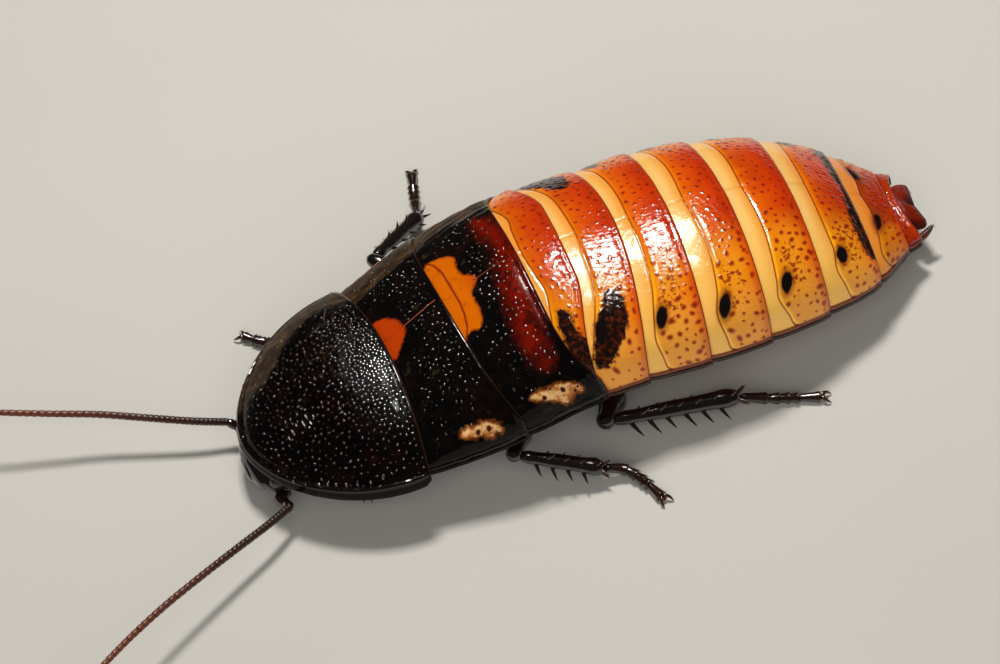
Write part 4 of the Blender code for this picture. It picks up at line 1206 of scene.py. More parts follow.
def softPaint(name, light, deep, rough=0.5):
    # folded skin between the hard plates, and the softer mouthparts
    paint = Paint(name)
    cloud = paint.noise(0.9, 4, 0.65)
    paint.colour = paint.mix(cloud, light, deep)
    paint.bump(paint.noise(0.35, 3, 0.6, stretch=(2.5, 1, 1)), 0.08, 0.7)
    return paint.done(paint.scaled(cloud, 0.2, rough - 0.1))


def plainPaint(name, size, light, deep, rough, **finish):
    # two near tones in soft patches
    paint = Paint(name)
    paint.colour = paint.mix(paint.noise(size), light, deep)
    return paint.done(rough, **finish)


# the legs

legs = {
    # root and tip of the coxa, knee, ankle, then the foot down to the claws
    "left_front": {"coxa": ((31.2, 4.2, 1.75), (29.0, 6.5, 1.6)), "knee": (30.2, 9.6, 2.8),
                   "ankle": (33.5, 8.1, 1.3), "foot": ((34.5, 7.4, 0.6), (36.1, 6.4, 0.35)),
                   "size": 0.82, "spines": 3},
    "left_middle": {"coxa": ((22.6, 3.9, 1.75), (18.8, 6.9, 1.6)), "knee": (21.2, 12.1, 3.5),
                    "ankle": (15.1, 14.6, 1.5),
                    "foot": ((13.1, 15.2, 0.8), (12.1, 16.6, 0.5), (11.3, 18.7, 0.35)),
                    "size": 0.9, "spines": 4},
    "left_hind": {"coxa": ((14.6, 3.6, 1.75), (10.4, 6.6, 1.5)), "knee": (13.2, 11.6, 3.0),
                  "ankle": (2.5, 12.5, 1.5), "foot": ((-0.6, 13.3, 0.6), (-4.1, 14.6, 0.35)),
                  "size": 1.0, "spines": 6},
    "right_front": {"coxa": ((31.2, -1.1, 1.75), (29.2, -4.2, 1.6)), "knee": (30.6, -9.0, 2.8),
                    "ankle": (34.6, -9.8, 1.3), "foot": ((35.8, -10.9, 0.6), (37.4, -12.6, 0.35)),
                    "size": 0.82, "spines": 3},
    "right_middle": {"coxa": ((22.6, -2.0, 1.75), (19.6, -6.2, 1.6)), "knee": (25.2, -13.3, 3.5),
                     "ankle": (19.9, -18.0, 1.5), "foot": ((19.3, -21.0, 0.6), (18.6, -24.0, 0.35)),
                     "size": 0.9, "spines": 4},
    "right_hind": {"coxa": ((14.6, -2.8, 1.75), (10.6, -6.4, 1.5)), "knee": (12.3, -13.0, 3.2),
                   "ankle": (2.6, -13.9, 1.5), "foot": ((-0.8, -14.4, 0.6), (-4.2, -15.4, 0.35)),
                   "size": 1.0, "spines": 6},
}

# what all six legs share; the first lists are radii from root to tip
legShape = {
    "coxa": (0.55, 1.45, 1.9, 1.95, 1.75, 1.45, 1.1, 0.95, 0.6),
    "coxaFlatness": 0.66,
    "femur": (0.5, 0.86, 1.1, 1.2, 1.13, 0.95, 0.84, 0.8, 0.76, 0.45),
    "tibia": (0.36, 0.6, 0.58, 0.65, 0.7, 0.7, 0.7, 0.74, 0.82, 0.5),
    "footRadius": 0.54,
    "gap": 0.3,
    "spineRadius": 0.25,
    "spineLength": 1.9,
    # each row of spines: out, up, along, share of the length
    "spineRows": ((1.0, -0.45, 0.6, 1.0), (-1.0, -0.1, 0.75, 0.7), (0.3, 1.0, 0.75, 0.7)),
    "spurs": ((0.9, 0.2), (-0.9, 0.2), (0.5, -0.45), (-0.3, 0.9), (0.8, -0.2)),
    "spineSocket": (0.2, 0.34, 0.33, 0.2),
    "knuckle": (0.5, 0.72, 0.8, 0.74, 0.55),
    "bristles": 46,
    "bristleLength": (0.35, 0.6),
    "femurBristles": 6,
    "footShares": (0.33, 0.16, 0.13, 0.11, 0.27),
    "clawHeights": (0.38, 0.52, 0.42, 0.12),
    "spurLength": 1.5,
    # steps along, and sides, of each length of the foot and of each claw
    "footSteps": (22, 18),
    "clawSteps": (16, 12),
    "clawRadius": 0.22,
    "clawLength": 1.0,
    "clawSpread": 38,
}


def profiled(root, tip, radii, rows, sides, flatness=1.0, ridge=0.0):
    # a limb's length: the radii are evenly spread from root to tip, the ends rounded
    root, tip = np.array(root, float), np.array(tip, float)
    s = (1 - np.cos(np.linspace(0, math.pi, rows))) / 2
    radius = curveAt(s, evenly(radii)) * (0.12 + 0.88 * rounding(np.minimum(s, 1 - s), 0.035))
    path = root + (tip - root) * s[:, None]
    rings = ringsAlong(path, radius, radius * flatness, sides)
    turns = circle(sides)
    keel = ridge * (np.cos(2 * turns) * 0.5 + np.cos(5 * turns) * 0.25)
    rings = rings + (rings - path[:, None]) * keel[None, :, None]
    rings[..., 2] = np.maximum(rings[..., 2], 0.0)
    return tubeOf(rings)


def makeLeg(name, leg, paintOn, own):
    size, shape = leg["size"], legShape
    (root, tip), knee, ankle = np.array(leg["coxa"]), np.array(leg["knee"]), np.array(leg["ankle"])
    outward = 1 if name.startswith("left") else -1

    def finish(group, part):
        group.make(f"{name}_{part}", paintOn, [f"leg_{name}_{part}"], "leg_black")

    # coxa, with a groove that takes the femur, and the small joint at its end
    radii = np.array(shape["coxa"]) * size
    way, femurWay = unit(tip - root), unit(knee - tip)
    coxa = Group()
    coxa.add(profiled(root - way * radii[1] * 0.62, tip + way * radii[-2] * 0.62, radii, 44, 36,
                      shape["coxaFlatness"], ridge=0.05))
    coxa.add(profiled(tip - femurWay * 0.5 * size, tip + femurWay * 1.35 * size,
                      np.array(shape["knuckle"]) * size, 20, 24, 0.9), 0.35)
    finish(coxa, "coxa")

    # femur, deepest before its middle, with a few bristles along its lower edge
    femurRoot = tip + femurWay * (0.95 * size + 0.12)
    radii = np.array(shape["femur"]) * size
    femurEnd = radii[-2]
    femur = Group()
    femur.add(profiled(femurRoot, knee + femurWay * femurEnd * 0.75, radii, 56, 32, ridge=0.06))
    side, _ = sideAndUp(femurWay)
    for k in range(shape["femurBristles"]):
        at = femurRoot + (knee - femurRoot) * (0.25 + 0.12 * k) - upward * radii[4] * 0.8
        lean = unit(femurWay * 0.8 + side * own.uniform(-0.5, 0.5) - upward * 0.9)
        femur.add(thorn(at, at + lean * own.uniform(0.5, 0.9) * size, 0.09 * size, rows=5), 0.6)
    finish(femur, "femur")

    # tibia with its rows of spines, its ring of spurs and fine bristles
    shinWay = unit(ankle - knee)
    side, up = sideAndUp(shinWay)
    outSide = side * (outward if side[1] > 0 else -outward)
    shinRoot = knee + shinWay * (femurEnd + shape["gap"])
    radii = np.array(shape["tibia"]) * size
    tibia = Group()
    tibia.add(profiled(knee + shinWay * femurEnd * 0.55, ankle + shinWay * radii[-2] * 0.7, radii, 70, 24,
                       ridge=0.07))
    brown = np.linspace(0.0, 0.5, 9).repeat(10)

    def spineAt(base, lean, long, bend):
        return thorn(base, base + lean * long * size, shape["spineRadius"] * size, 10, 9, bend=bend)

    for row, (out, rise, along, long) in enumerate(shape["spineRows"]):
        for i in range(leg["spines"]):
            share = (i + 0.5 + 0.3 * row) / (leg["spines"] + 0.6)
            if share > 0.94:
                continue
            lean = unit(shinWay * along + outSide * out + side * own.uniform(-0.1, 0.1) + up * rise)
            base = shinRoot + (ankle - shinRoot) * share + lean * 0.22 * size
            spine = spineAt(base, lean, shape["spineLength"] * long * own.uniform(0.85, 1.05), 0.06)
            tibia.add(spine, np.concatenate([brown * own.uniform(0.4, 1), [0.1, 0.9]]))
            tibia.add(profiled(base - lean * 0.1, base + lean * 0.36 * size,
                               np.array(shape["spineSocket"]) * size, 8, 12))
    for out, rise in shape["spurs"]:
        lean = unit(shinWay * 1.1 + outSide * out + up * rise)
        spur = spineAt(ankle - shinWay * 0.1, lean, shape["spurLength"], 0.05)
        tibia.add(spur, np.concatenate([brown, [0.0, 0.5]]))
    count = shape["bristles"]
    shares, turns = own.uniform(0.06, 0.96, count), own.uniform(0, 2 * math.pi, count)
    for share, turn in zip(shares, turns):
        off, _ = turned(side, up, turn)
        at = shinRoot + (ankle - shinRoot) * share + off * 0.4 * size
        tibia.add(hair(at, unit(off + shinWay * 0.9), own.uniform(*shape["bristleLength"]) * size, 0.03), 0.9)
    finish(tibia, "tibia")
    finish(footOf(leg, ankle, radii[-2]), "foot")


def footOf(leg, ankle, ankleRadius):
    # five lengths, each swollen towards its end over a soft pad, then two claws and the pad between
    size, foot = leg["size"], Group()
    points = [np.array(p) for p in leg["foot"]]
    route = pathThrough([ankle + unit(points[0] - ankle) * ankleRadius * 0.7] + points, 181)
    joints = np.cumsum((0,) + legShape["footShares"])
    for k, (a, b) in enumerate(zip(joints, joints[1:])):
        steps, sides = legShape["footSteps"]
        s = np.linspace(a, b + 0.012, steps)
        line = onRoute(s, np.linspace(0, 1, len(route)), route)
        q = (s - a) / (b - a)
        radius = legShape["footRadius"] * (0.68 + 0.32 * np.clip(q, 0, 1) ** 1.4)
        radius = radius * (0.3 + 0.7 * rounding(np.minimum(q + 0.02, (1.06 - q) * 2), 0.12))
        isLast = k == len(joints) - 2
        if isLast:
            radius = radius * (0.86 + 0.1 * q)
        foot.add(tubeOf(ringsAlong(line, radius, radius * 0.95, sides)),
                 np.concatenate([(0.02 + 0.16 * q).repeat(sides), [0.1, 0.1]]))
        if isLast:
            break
        end, ahead = line[-4] - upward * 0.16, unit(line[-1] - line[-6])
        foot.add(profiled(end - ahead * 0.28, end + ahead * 0.42, (0.14, 0.3, 0.3, 0.1), 9, 12, 0.7), 0.4)
        for sign in (-1, 1):
            out = sideAndUp(ahead)[0] * sign
            foot.add(hair(line[-5] + out * radius[-5] * 0.8, unit(out * 0.8 + ahead), 0.3, 0.03), 0.9)
    tip, ahead = route[-1], route[-1] - route[-6]
    ahead = unit(ahead * (1, 1, 0))
    steps, sides = legShape["clawSteps"]
    reach = legShape["clawLength"]
    for sign in (-1, 1):
        out = np.array([*turned(ahead[0], ahead[1], -math.radians(sign * legShape["clawSpread"])), 0])
        line = np.array([tip, tip + out * 0.32 * reach, tip + out * 0.68 * reach,
                         tip + out * 0.8 * reach + ahead * 0.3 * reach])
        line[:, 2] = legShape["clawHeights"]
        s = np.linspace(0, 1, steps)
        radius = legShape["clawRadius"] * size * ((1 - s) ** 0.7 + 0.1)
        foot.add(tubeOf(ringsAlong(pathThrough(line, steps), radius, radius, sides)),
                 np.concatenate([(0.1 + 0.5 * s).repeat(sides), [0.2, 0.6]]))
    foot.add(profiled(tip - ahead * 0.1 + upward * 0.02, tip + ahead * 0.5 - upward * 0.05,
                      (0.12, 0.24, 0.26, 0.1), 12, 14, 0.6), 0.6)
    return foot


# the antennae

antennae = {
    "left": {"socket": (39.75, 3.1, 1.35), "scape": ((39.95, 6.45, 1.55), (39.55, 7.5, 1.9)),
             "lash": ((39.4, 8.3, 2.35), (41.4, 9.6, 2.8), (44.4, 11.15, 3.2), (48.2, 13.15, 3.7),
                      (52.2, 15.4, 4.2), (57.6, 19.2, 5.0), (64.0, 24.6, 5.4), (70.6, 31.2, 4.6))},
    "right": {"socket": (40.15, -3.1, 1.35), "scape": ((40.35, -1.35, 1.5), (40.95, -2.0, 2.0)),
              "lash": ((41.5, -2.4, 2.45), (43.7, -3.2, 2.8), (47.4, -4.9, 3.3), (51.2, -6.7, 3.8),
                       (55.1, -8.2, 4.3), (58.9, -9.7, 4.8), (66.0, -13.0, 5.2), (74.0, -17.8, 4.4))},
}

# Collar, scape, pedicel: radii of the base's three lengths.
# Bead: places along one bead, and the share of the radius there.
lash = {"root": 0.33, "tip": 0.16, "shortBead": 0.3, "longBead": 0.62, "sides": 14, "steps": 2400,
        "hairLength": 0.2, "hairRadius": 0.018,
        "collar": (0.4, 0.62, 0.6, 0.56, 0.5), "scape": (0.3, 0.46, 0.52, 0.53, 0.5, 0.42, 0.3),
        "pedicel": (0.22, 0.38, 0.4, 0.38, 0.26),
        "bead": ((0.02, 0.78), (0.12, 0.93), (0.35, 1.0), (0.65, 1.03), (0.86, 0.98), (0.96, 0.84))}


def makeAntenna(name, shape, black, brown, own):
    root, tip = [np.array(p) for p in shape["scape"]]
    x, side, z = shape["socket"]
    way, first = unit(tip - root), np.array(shape["lash"][0])
    turnWay = unit(first - tip)
    base = Group()
    for start, end, part, rows, sides in (
            (place(x, head["side"] + side, z), root + way * 0.3, "collar", 24, 24),
            (root - way * 0.42, tip + way * 0.1, "scape", 34, 28),
            (tip - turnWay * 0.1, first + turnWay * 0.12, "pedicel", 22, 24)):
        base.add(profiled(start, end, lash[part], rows, sides), 0.1)
    base.make(f"antenna_{name}_base", black, [f"antenna_{name}_scape"], "leg_black")

    # the lash: beads that lengthen outwards, in the two lengths that the solids have
    route = pathThrough(shape["lash"], lash["steps"])
    run = runOf(route)
    marks, at = [0.0], 0.0
    while at < run[-1] - 0.3:
        growth = min(1, at / run[-1] / 0.35) ** 0.8
        at += lash["shortBead"] + (lash["longBead"] - lash["shortBead"]) * growth
        marks.append(min(at, run[-1]))
    marks, profile, sides = np.array(marks), np.array(lash["bead"]), lash["sides"]
    middle = len(marks) // 2
    for part, first, last in (("inner", 0, middle), ("outer", middle, len(marks) - 1)):
        starts, steps = marks[first:last, None], np.diff(marks)[first:last, None]
        s = (starts + steps * profile[:, 0]).ravel()
        swell = np.tile(profile[:, 1], last - first) * own.uniform(0.985, 1.015, len(s))
        share = s / run[-1]
        radius = (lash["root"] + (lash["tip"] - lash["root"]) * share**1.5) * swell
        path = onRoute(s, run, route)
        ahead = unit(np.gradient(path, axis=0))
        skins = [tubeOf(ringsAlong(path, radius, radius, sides))]
        along = [np.concatenate([share.repeat(sides), share[[0, -1]]])]
        for k in range(4, len(s), len(profile)):
            for turn in np.arange(4) * math.pi / 2 + own.uniform(0, math.pi):
                off, _ = turned(*sideAndUp(ahead[k]), turn)
                skins.append(hair(path[k] + off * radius[k] * 0.9, unit(off * 0.8 + ahead[k]),
                                  lash["hairLength"], lash["hairRadius"]))
                along.append(np.full(len(skins[-1][0]), share[k]))
        along = np.concatenate(along)
        isDeep = np.tile(profile[:, 1] < 0.85, last - first).repeat(sides)
        groove = np.zeros(len(along))
        groove[:len(isDeep) + 2] = np.concatenate([isDeep, [1, 1]])
        meshPiece(f"antenna_{name}_lash_{part}", joined(skins), [brown], [f"antenna_{name}_{part}"],
                  {"along": along, "groove": groove})


# the head, crown to the front and mouth to the back

head = {
    "side": 0.4,
    # x, height of the middle, half width, half thickness
    "sections": ((41.75, 2.35, 0.9, 0.35), (41.45, 2.35, 2.0, 0.85), (40.7, 2.35, 3.0, 1.3),
                 (39.4, 2.32, 3.5, 1.62), (38.0, 2.3, 3.45, 1.7), (36.9, 2.15, 2.95, 1.62),
                 (36.0, 1.9, 2.35, 1.35), (35.2, 1.6, 1.95, 1.05), (34.5, 1.35, 1.6, 0.75),
                 (34.1, 1.2, 1.1, 0.45)),
    "rows": 110,
    "sides": 120,
    "eyeAt": (39.3, 3.05, 2.75),
    "eyeRadii": (1.25, 0.75, 0.85),
    "eyeNotch": 0.24,
    "eyeSteps": (60, 84),  # rows and sides
    # radius and thickness of the ring round each antenna's socket
    "socketRing": (0.6, 0.13),
    "clypeus": (36.75, 35.35, 1.75, 1.45, 0.12),
    "labrum": (35.3, 33.95, 1.4, 0.75, 0.17),
    "clypeusBulge": 0.5,
    "labrumBulge": 0.7,
    "palp": ((35.3, 1.75, 1.15), (35.7, 2.35, 0.9), (36.5, 2.95, 0.75), (37.8, 3.05, 0.65)),
    "palpRadius": 0.3,
    "palpCuts": (0, 0.2, 0.45, 0.7, 1.0),
    "palpSteps": 121,
    "palpBristles": 26,
    "palpBristlesFrom": 70,
    "palpWarm": 0.45,
    "lipPalp": ((34.75, 0.85, 0.72), (35.1, 1.3, 0.42), (35.9, 1.6, 0.36)),
    "lipSteps": 61,
    # first and last step along the lip's palp, and radius, of each of its lengths
    "lipLengths": ((0, 18, 0.17), (18, 38, 0.19), (38, 60, 0.21)),
    "mandible": ((36.0, 2.05, 1.35), (35.0, 2.0, 0.95), (34.3, 1.15, 0.72), (34.05, 0.4, 0.66)),
    "jawSteps": (34, 20),  # along and around
    "jawRadius": 0.52,
    # step along the jaw, and length, of each tooth
    "teeth": ((33, 0.2), (29, 0.24), (25, 0.2)),
    "toothRadius": 0.12,
    # x, way out, and half its size along and out
    "paleSpot": (39.95, 2.15, 0.3, 0.36),
}


def headFace(x, side):
    # the lower side of the head, which is its face
    middle, half, thick = [curveAt(x, head["sections"], column) for column in (1, 2, 3)]
    return middle - thick * np.sqrt(np.clip(1 - (side / half) ** 2, 0, 1))


def onHead(key, sign):
    # a line of the head's dictionary, on the left for a sign of 1
    return [place(x, head["side"] + sign * out, z) for x, out, z in head[key]]


def headPatch(start, end, wideStart, wideEnd, rise, bulge, rows=26, cols=30):
    # a plate that lies on the face, thicker towards its middle
    p, q = np.linspace(0, 1, rows)[:, None], halfWave(cols)[None, :]
    x = start + (end - start) * p + 0 * q
    tip = np.sqrt(np.clip(1 - (np.clip(p - 0.55, 0, 1) / 0.46) ** 4, 0.02, 1))
    side = (wideStart + (wideEnd - wideStart) * p) * tip * q
    arch = np.clip(4 * p * (1 - p), 0, 1)
    thick = rise * (np.clip(1 - q**4, 0, 1) * arch ** 0.3 * (1 - bulge)
                    + bulge * np.sqrt(np.clip(1 - q**2, 0, 1)) * np.sqrt(arch))
    face = headFace(np.maximum(x, 34.2), np.clip(side, -1.05, 1.05) if end < 34.2 else side)
    low, high = [place(x, head["side"] + side, z) for z in (face - thick, face + 0.12)]
    return tubeOf(np.concatenate([low, high[:, ::-1]], axis=1))


def hoop(centre, axis, big, small, around=40, sides=12):
    # a round ring of one thickness about an axis
    axis = unit(np.array(axis, float))
    a = unit(np.cross(axis, upward) + [1e-6, 0, 0])
    u, v = circle(around)[:, None], circle(sides)[None, :]
    ring = a * np.cos(u)[..., None] + np.cross(axis, a) * np.sin(u)[..., None]
    points = centre + ring * (big + small * np.cos(v))[..., None] + axis * (small * np.sin(v))[..., None]
    return points.reshape(-1, 3), [gridFaces(around + 1, sides) % (around * sides)]


def headCapsule(black):
    rows, sides = head["rows"], head["sides"]
    first, last = head["sections"][0][0], head["sections"][-1][0]
    x = first + (last - first) * (1 - np.cos(np.linspace(0, math.pi, rows))) / 2
    middle, half, thick = [curveAt(x, head["sections"], column)[:, None] for column in (1, 2, 3)]
    turns = circle(sides)
    side, rise = half * np.cos(turns), thick * np.sin(turns)
    wide = np.broadcast_to(x[:, None], side.shape)
    out, z = np.abs(side), middle + rise
    face = smoothStep(-np.sin(turns), 0.0, 0.3)[None, :]
    # seams of the face, rims round the eyes and mounds for the antennae
    crown = wide > 40.0
    fork = np.minimum(out, 9) * crown + 9 * ~crown
    fork = np.minimum(fork, np.abs(out - (40.0 - wide) * 0.75) + 9 * crown + 9 * (wide < 37.4))
    eyeX, _, eyeZ = head["eyeAt"]
    orbit = np.hypot((wide - eyeX) / (head["eyeRadii"][0] + 0.12), (z - eyeZ) / (head["eyeRadii"][2] + 0.12))
    raised = (0.015 * ripple(wide, side, 1.4, 70) - 0.06 * hump(fork, 0, 0.12) * face
              - 0.1 * hump(wide, 36.85, 0.12) * face * (out < 2.3)
              - 0.1 * face * hump(wide, 38.4, 1.0) * hump(side, 0, 1.3)
              + 0.1 * hump(orbit, 1.06, 0.12) * (out > 1.2)
              - 0.2 * smoothStep(orbit, 0.95, 0.6) * (out > 2.0))
    for name, sign in flanks:
        socketX, _, socketZ = antennae[name]["socket"]
        gap = np.hypot(wide - socketX, z - socketZ) + 9 * (side * sign < 0)
        raised = raised + 0.14 * hump(gap, 0.62, 0.3)
    scale = 1 + raised / np.maximum(np.hypot(side, rise), 0.3)
    warm = 0.55 * smoothStep(wide, 37.4, 35.6) + 0.12 * face * smoothStep(wide, 40.5, 38.5)
    capsule = Group()
    capsule.add(tubeOf(place(wide, head["side"] + side * scale, middle + rise * scale)),
                np.concatenate([warm.ravel(), [0, 0.5]]))
    for name, sign in flanks:
        socketX, out, socketZ = antennae[name]["socket"]
        centre = place(socketX, head["side"] + out, socketZ) + (0, sign * 0.16, 0.02)
        capsule.add(hoop(centre, (0.1, sign, 0.1), *head["socketRing"]), 0.15)
    capsule.make("head_capsule", black, ["head"], "shell_black")


def headEyes(eyeMaterial):
    # kidney shapes, notched towards the antenna
    x, out, z = head["eyeAt"]
    rows, sides = head["eyeSteps"]
    v, u = np.linspace(0.03, math.pi - 0.03, rows)[:, None], circle(sides)[None, :]
    for name, sign in flanks:
        ball = np.stack([np.sin(v) * np.cos(u), np.cos(v) + 0 * u, np.sin(v) * np.sin(u)], -1)
        notch = unit(np.array([0.45, 0.35 * sign, -0.85]))
        near = np.arccos(np.clip((ball * notch).sum(-1), -1, 1))
        ball = ball * (1 - head["eyeNotch"] * hump(near, 0, 0.55))[..., None]
        ball = ball * np.array(head["eyeRadii"]) * (1.02, 1.06, 1.02)
        skin = tubeOf(ball + place(x, head["side"] + sign * out, z))
        meshPiece("eye_" + name + "_facets", skin, [eyeMaterial], ["eye_" + name])


def headMouth(black, brown, pale, own):
    # plates over the mouth, pale spots beside the antennae, jaws and feelers of the mouth
    plates = [headPatch(*head[key], head[key + "Bulge"]) for key in ("clypeus", "labrum")]
    meshPiece("mouth_plates", joined(plates), [brown], [])
    x, out, halfX, halfOut = head["paleSpot"]
    p, u = np.linspace(0.02, 1, 10)[:, None], circle(32)[None, :]
    spots, jaws, lips = [], Group(), Group()
    for sign in (-1, 1):
        atX, side = x + halfX * p * np.cos(u), sign * out + halfOut * p * np.sin(u)
        z = headFace(atX, side)
        low = place(atX, head["side"] + side, z - 0.07 * np.sqrt(1 - 0.98 * p**2))
        high = place(atX, head["side"] + side, z + 0.1)
        spots.append(tubeOf(np.concatenate([low, high[::-1]])))

        steps, sides = head["jawSteps"]
        path, s = pathThrough(onHead("mandible", sign), steps), np.linspace(0, 1, steps)
        radius = head["jawRadius"] * (1 - s) ** 0.6 * (0.35 + 0.65 * rounding(s, 0.1)) + 0.07
        jaws.add(tubeOf(ringsAlong(path, radius, radius * 0.62, sides)), 0.45)
        inward = unit(np.array([-0.35, -sign * 0.9, 0.0]))
        for k, long in head["teeth"]:
            jaws.add(thorn(path[k], path[k] + inward * long, head["toothRadius"], rows=5), 0.45)

        route = pathThrough(onHead("lipPalp", sign), head["lipSteps"])
        for a, b, r in head["lipLengths"]:
            lips.add(profiled(route[a], route[b], (r * 0.6, r * 0.85, r, r * 1.05, r * 0.7), 16, 16), 0.55)
    meshPiece("face_spots", joined(spots), [pale], [])
    jaws.make("mandibles", black, [], "shell_black", low=0.05)

    for name, sign in flanks:
        palp, radius = Group(), head["palpRadius"]
        steps = head["palpSteps"]
        route = pathThrough(onHead("palp", sign), steps)
        cuts = [int(cut * (steps - 1)) for cut in head["palpCuts"]]
        for k, (i, j) in enumerate(zip(cuts, cuts[1:])):
            r = radius * (0.8 + 0.08 * k)
            radii = (r * 0.5, r * 0.72, r * 0.86, r, r * 1.05, r * 0.8)
            palp.add(profiled(route[i], route[j], radii, 22, 20), head["palpWarm"])
        for _ in range(head["palpBristles"]):
            k = own.integers(head["palpBristlesFrom"], steps)
            off = unit(own.normal(0, 1, 3))
            way = unit(off + unit(route[-1] - route[-10]))
            palp.add(hair(route[k] + off * radius * 0.75, way, 0.22, 0.02), 0.9)
        palp.make(f"palp_{name}_lengths", black, ["palp_" + name], "leg_black", low=0.02)
    lips.make("lip_palps", black, [], "leg_black", low=0.02)


# the neck and the block that carries the front legs

chest = {
    "front": 36.4,
    "halfWidths": (5.2, 5.0, 4.0, 2.6),
    "low": (3.3, 3.3, 3.5, 4.15),
    "rows": 70,
    "columns": 72,
    "neck": ((38.0, 0.35, 3.0), (37.2, 0.3, 3.7), (36.0, 0.15, 4.3), (34.9, 0.0, 4.4)),
    "neckRadii": (1.9, 0.62),
    "neckSteps": (60, 40),  # along and around
    "pleats": 8,
}


def makeChest(paintOn, skin):
    q, turns = np.linspace(0, 1, chest["rows"])[:, None], circle(chest["columns"])[None, :]
    share, height = [np.sign(wave) * np.abs(wave) ** 0.55 for wave in (np.cos(turns), np.sin(turns))]
    half, low = [np.interp(q, np.linspace(0, 1, 4), chest[key]) for key in ("halfWidths", "low")]
    rear = plateLine(0, share * 0.45) + 0.2
    x, side = rear + (chest["front"] - rear) * q, half * share
    roof = np.maximum(shieldUnder(x, side) - 0.35, low + 0.5)
    z = (roof + low) / 2 + (roof - low) / 2 * height
    folds = 0.06 * np.sin(q * 2 * math.pi * 5) * (height < 0) - 0.16 * hump(side, 0, 0.35) * (height < -0.4)
    closing = 0.75 + 0.25 * rounding(np.minimum(q, 1 - q), 0.05)
    block = tubeOf(place(x, side * closing, z - folds * np.abs(height)))
    meshPiece("prothorax_block", block, [paintOn], ["prothorax"],
              {"across": 0.3, "share": 0.6, "dark": 0.8})
    (steps, sides), (wide, high) = chest["neckSteps"], chest["neckRadii"]
    pleats = 1 + 0.07 * np.sin(np.linspace(0, chest["pleats"] * 2 * math.pi, steps))
    path = pathThrough([place(*point) for point in chest["neck"]], steps)
    neck = tubeOf(ringsAlong(path, wide * pleats, high * pleats, sides))
    meshPiece("neck_skin", neck, [skin], [])


# the tail

tail = {
    "rows": ((0.0, 2.25, 1.3), (0.35, 2.4, 1.1), (0.7, 2.4, 0.8), (0.9, 2.25, 0.5), (1.0, 2.0, 0.3)),
    "side": -0.2,
    "length": 1.5,
    "notch": 0.55,
    "notchHalf": 0.5,
    "rootHalf": 3.75,
    "lift": 0.2,
    "thick": 0.5,
    "cerci": {"left": ((-17.8, 3.75, 2.2), (-18.1, 3.65, 2.3), (-18.5, 3.55, 2.5), (-19.0, 3.4, 2.85)),
              "right": ((-17.75, -1.95, 2.1), (-18.1, -1.85, 2.1), (-18.5, -1.75, 2.05), (-19.0, -1.6, 2.0))},
    "columns": 120,
    "cercusRadii": (0.3, 0.37, 0.35, 0.26, 0.1),
    "cercusSteps": 90,
    "cercusSides": 28,
    "cercusBristles": 16,
}


def makeTail(paintOn, cercusPaint, own):
    t = halfWave(tail["columns"])[None, :]
    share = np.concatenate([[-0.3, -0.15], np.linspace(0, 1, 44)])[:, None]
    half, rise = [curveAt(np.clip(share, 0, 1), tail["rows"], column) for column in (1, 2)]
    rise = rise - 0.34 * smoothStep(share, 0.25, -0.2)
    side = half * t
    length = tail["length"] - tail["notch"] * hump(side, 0, tail["notchHalf"])
    x = plateLine(10, side / tail["rootHalf"]) - 0.15 - length * share
    edge = marginHeight(x) + tail["lift"]
    toEdge = (1 - share) * length
    lobes = -0.14 * hump(side, 0, 0.34) * smoothStep(share, -0.1, 0.6) + 0.02 * ripple(x, side, 0.7, 90)
    lobes = lobes + 0.05 * hump(toEdge, 0.12, 0.1)
    top = place(x, side + tail["side"], edge + (rise + lobes) * archOf(t))
    under = place(x, side + tail["side"],
                  edge - tail["thick"] + 0.25 * archOf(t) * smoothStep(share, 0.2, 0.9))[:, ::-1]
    walls = [(top[:, -1:] + under[:, :1]) / 2 + (0, 0.1, 0), (top[:, :1] + under[:, -1:]) / 2 - (0, 0.1, 0)]
    rings = np.concatenate([top, walls[0], under, walls[1]], axis=1)
    rim = np.minimum(toEdge, half - np.abs(side))
    rim = np.concatenate([rim, rim[:, -1:], rim[:, ::-1], rim[:, :1]], axis=1)
    meshPiece("tail_plate", tubeOf(rings), [paintOn], ["supra_anal_plate"],
              {"edge": np.concatenate([rim.ravel(), [1, 0]])})

    steps, sides = tail["cercusSteps"], tail["cercusSides"]
    s = np.linspace(0, 1, steps)
    radii = curveAt(s, evenly(tail["cercusRadii"])) * (1 - 0.13 * np.abs(np.cos(s * math.pi * 8)) ** 6)
    radii = radii * (0.2 + 0.8 * rounding(np.minimum(s + 0.02, 1.0 - s), 0.06))
    for name, line in tail["cerci"].items():
        path = pathThrough([np.array(line[0]) + (0.35, 0, -0.05)] + list(line), steps)
        cercus = Group()
        cercus.add(tubeOf(ringsAlong(path, radii, radii * 0.85, sides)),
                   np.concatenate([smoothStep(s, 0.95, 0.35).repeat(sides), [1, 0]]))
        for _ in range(tail["cercusBristles"]):
            k = own.integers(20, steps - 1)
            off = unit(own.normal(0, 1, 3))
            way = unit(off + unit(path[-1] - path[-6]) * 0.8)
            cercus.add(hair(path[k] + off * radii[k] * 0.8, way, own.uniform(0.12, 0.3), 0.02), 0.5)
        cercus.make(f"cercus_{name}_beads", cercusPaint, ["cercus_" + name], "tail_red")


# make the animal

shell, underShell, dark = shellPaint("shell"), bellyPaint("underside"), darkPaint("dark_shell")
granule = plainPaint("granule_black", 1.5, (12, 9, 8), (36, 18, 13), 0.1, coat=0.4, coatRough=0.05, ior=3.0)
for index in range(1, len(body["plates"])):
    makeSegment(index, dark if index < 3 else shell, underShell)
print("trunk made")
makeShield(dark, underShell)
makeGranules(granule)
print("shield and granules made")

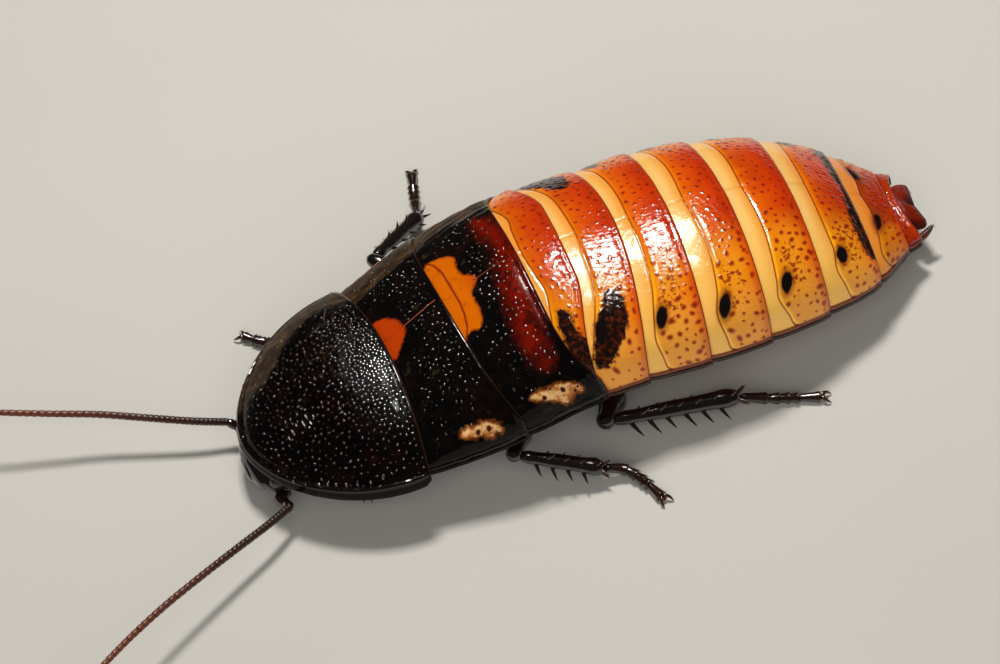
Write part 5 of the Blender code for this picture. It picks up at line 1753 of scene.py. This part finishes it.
limb = limbPaint("limb_black")
headCapsule(limb)
headEyes(eyePaint("eye_facets"))
headMouth(limb, softPaint("mouth_brown", (120, 66, 34), (60, 30, 18), 0.35),
          softPaint("spot_pale", (222, 196, 150), (196, 160, 104), 0.35), rng)
makeChest(underShell, softPaint("neck_skin", (150, 104, 70), (88, 52, 32)))
for name, shape in antennae.items():
    makeAntenna(name, shape, limb, lashPaint("lash_" + name), rng)
print("head and antennae made")
for name, leg in legs.items():
    makeLeg(name, leg, limb, rng)
print("legs made")
makeTail(tailPaint("tail_shell"), limbPaint("cercus_brown", 0.6), rng)
print("tail made")

# floor, lights and camera

studio = {
    "floor": 3.0,
    "sensor": 36.0,
    "pixelsWide": 1000,
    "target": (18.18, 0.475, 5.0),
    "azimuth": 10.08,
    "elevation": 48.41,
    "roll": -11.94,
    "distance": 330.0,
    "pixelsPerMm": 12.156,
    "world": (1.0, 0.92, 0.8, 0.05),
    # where it stands, what it looks at, size, power, colour, whether it is mirrored, whether it lights
    "lights": {
        "key": ((-12.0, -108.0, 280.0), (6.0, 2.0, 6.0), (64.0, 54.0), 0.84, (1.0, 0.965, 0.9), True, True),
        "glint": ((-18.0, -14.0, 290.0), (6.0, 8.0, 4.0), (40.0, 26.0), 0.16, (1.0, 0.97, 0.93), True, False),
        "fill": ((110.0, 420.0, 300.0), (8.0, 0.0, 5.0), (600.0, 500.0), 1.85, (1.0, 0.99, 0.96),
                 False, True),
    },
}


def makeStage():
    mesh, size = bpy.data.meshes.new("floor"), studio["floor"]
    corners = [(-size, -size, 0), (size, -size, 0), (size, size, 0), (-size, size, 0)]
    mesh.from_pydata(corners, [], [(0, 1, 2, 3)])
    mesh.materials.append(plainPaint("floor_pale", 60.0, (188, 186, 181), (196, 194, 190), 0.85))
    floor = put("floor", mesh)

    world = bpy.data.worlds.new("studio")
    world.use_nodes = True
    red, green, blue, strength = studio["world"]
    back = world.node_tree.nodes["Background"]
    back.inputs["Color"].default_value = (red, green, blue, 1)
    back.inputs["Strength"].default_value = strength
    bpy.context.scene.world = world
    for name, (where, aim, area, power, colour, mirrored, lit) in studio["lights"].items():
        data = bpy.data.lights.new("light_" + name, "AREA")
        data.shape = "RECTANGLE"
        data.size, data.size_y = area[0] * mm, area[1] * mm
        data.energy, data.color = power, colour
        lamp = put("light_" + name, data)
        lamp.location = Vector(where) * mm
        lamp.visible_glossy, lamp.visible_diffuse = mirrored, lit
        lamp.rotation_euler = (Vector(where) - Vector(aim)).to_track_quat("Z", "Y").to_euler()


def makeCamera():
    turn, rise, roll = [math.radians(studio[key]) for key in ("azimuth", "elevation", "roll")]
    back = Vector((math.sin(turn) * math.cos(rise), math.cos(turn) * math.cos(rise), math.sin(rise)))
    right = Vector((0, 0, 1)).cross(back).normalized()
    right, up = turned(right, back.cross(right), roll)
    data = bpy.data.cameras.new("camera")
    data.sensor_width = studio["sensor"]
    data.lens = studio["pixelsPerMm"] * studio["distance"] * studio["sensor"] / studio["pixelsWide"]
    data.clip_start, data.clip_end = 0.01, 20
    camera = put("camera", data)
    where = (Vector(studio["target"]) + back * studio["distance"]) * mm
    camera.matrix_world = Matrix.Translation(where) @ Matrix((right, up, back)).transposed().to_4x4()
    bpy.context.scene.camera = camera


makeStage()
makeCamera()
bpy.context.scene.view_settings.view_transform = "Standard"
bpy.context.scene.view_settings.look = "None"
print("stage, lights and camera made")
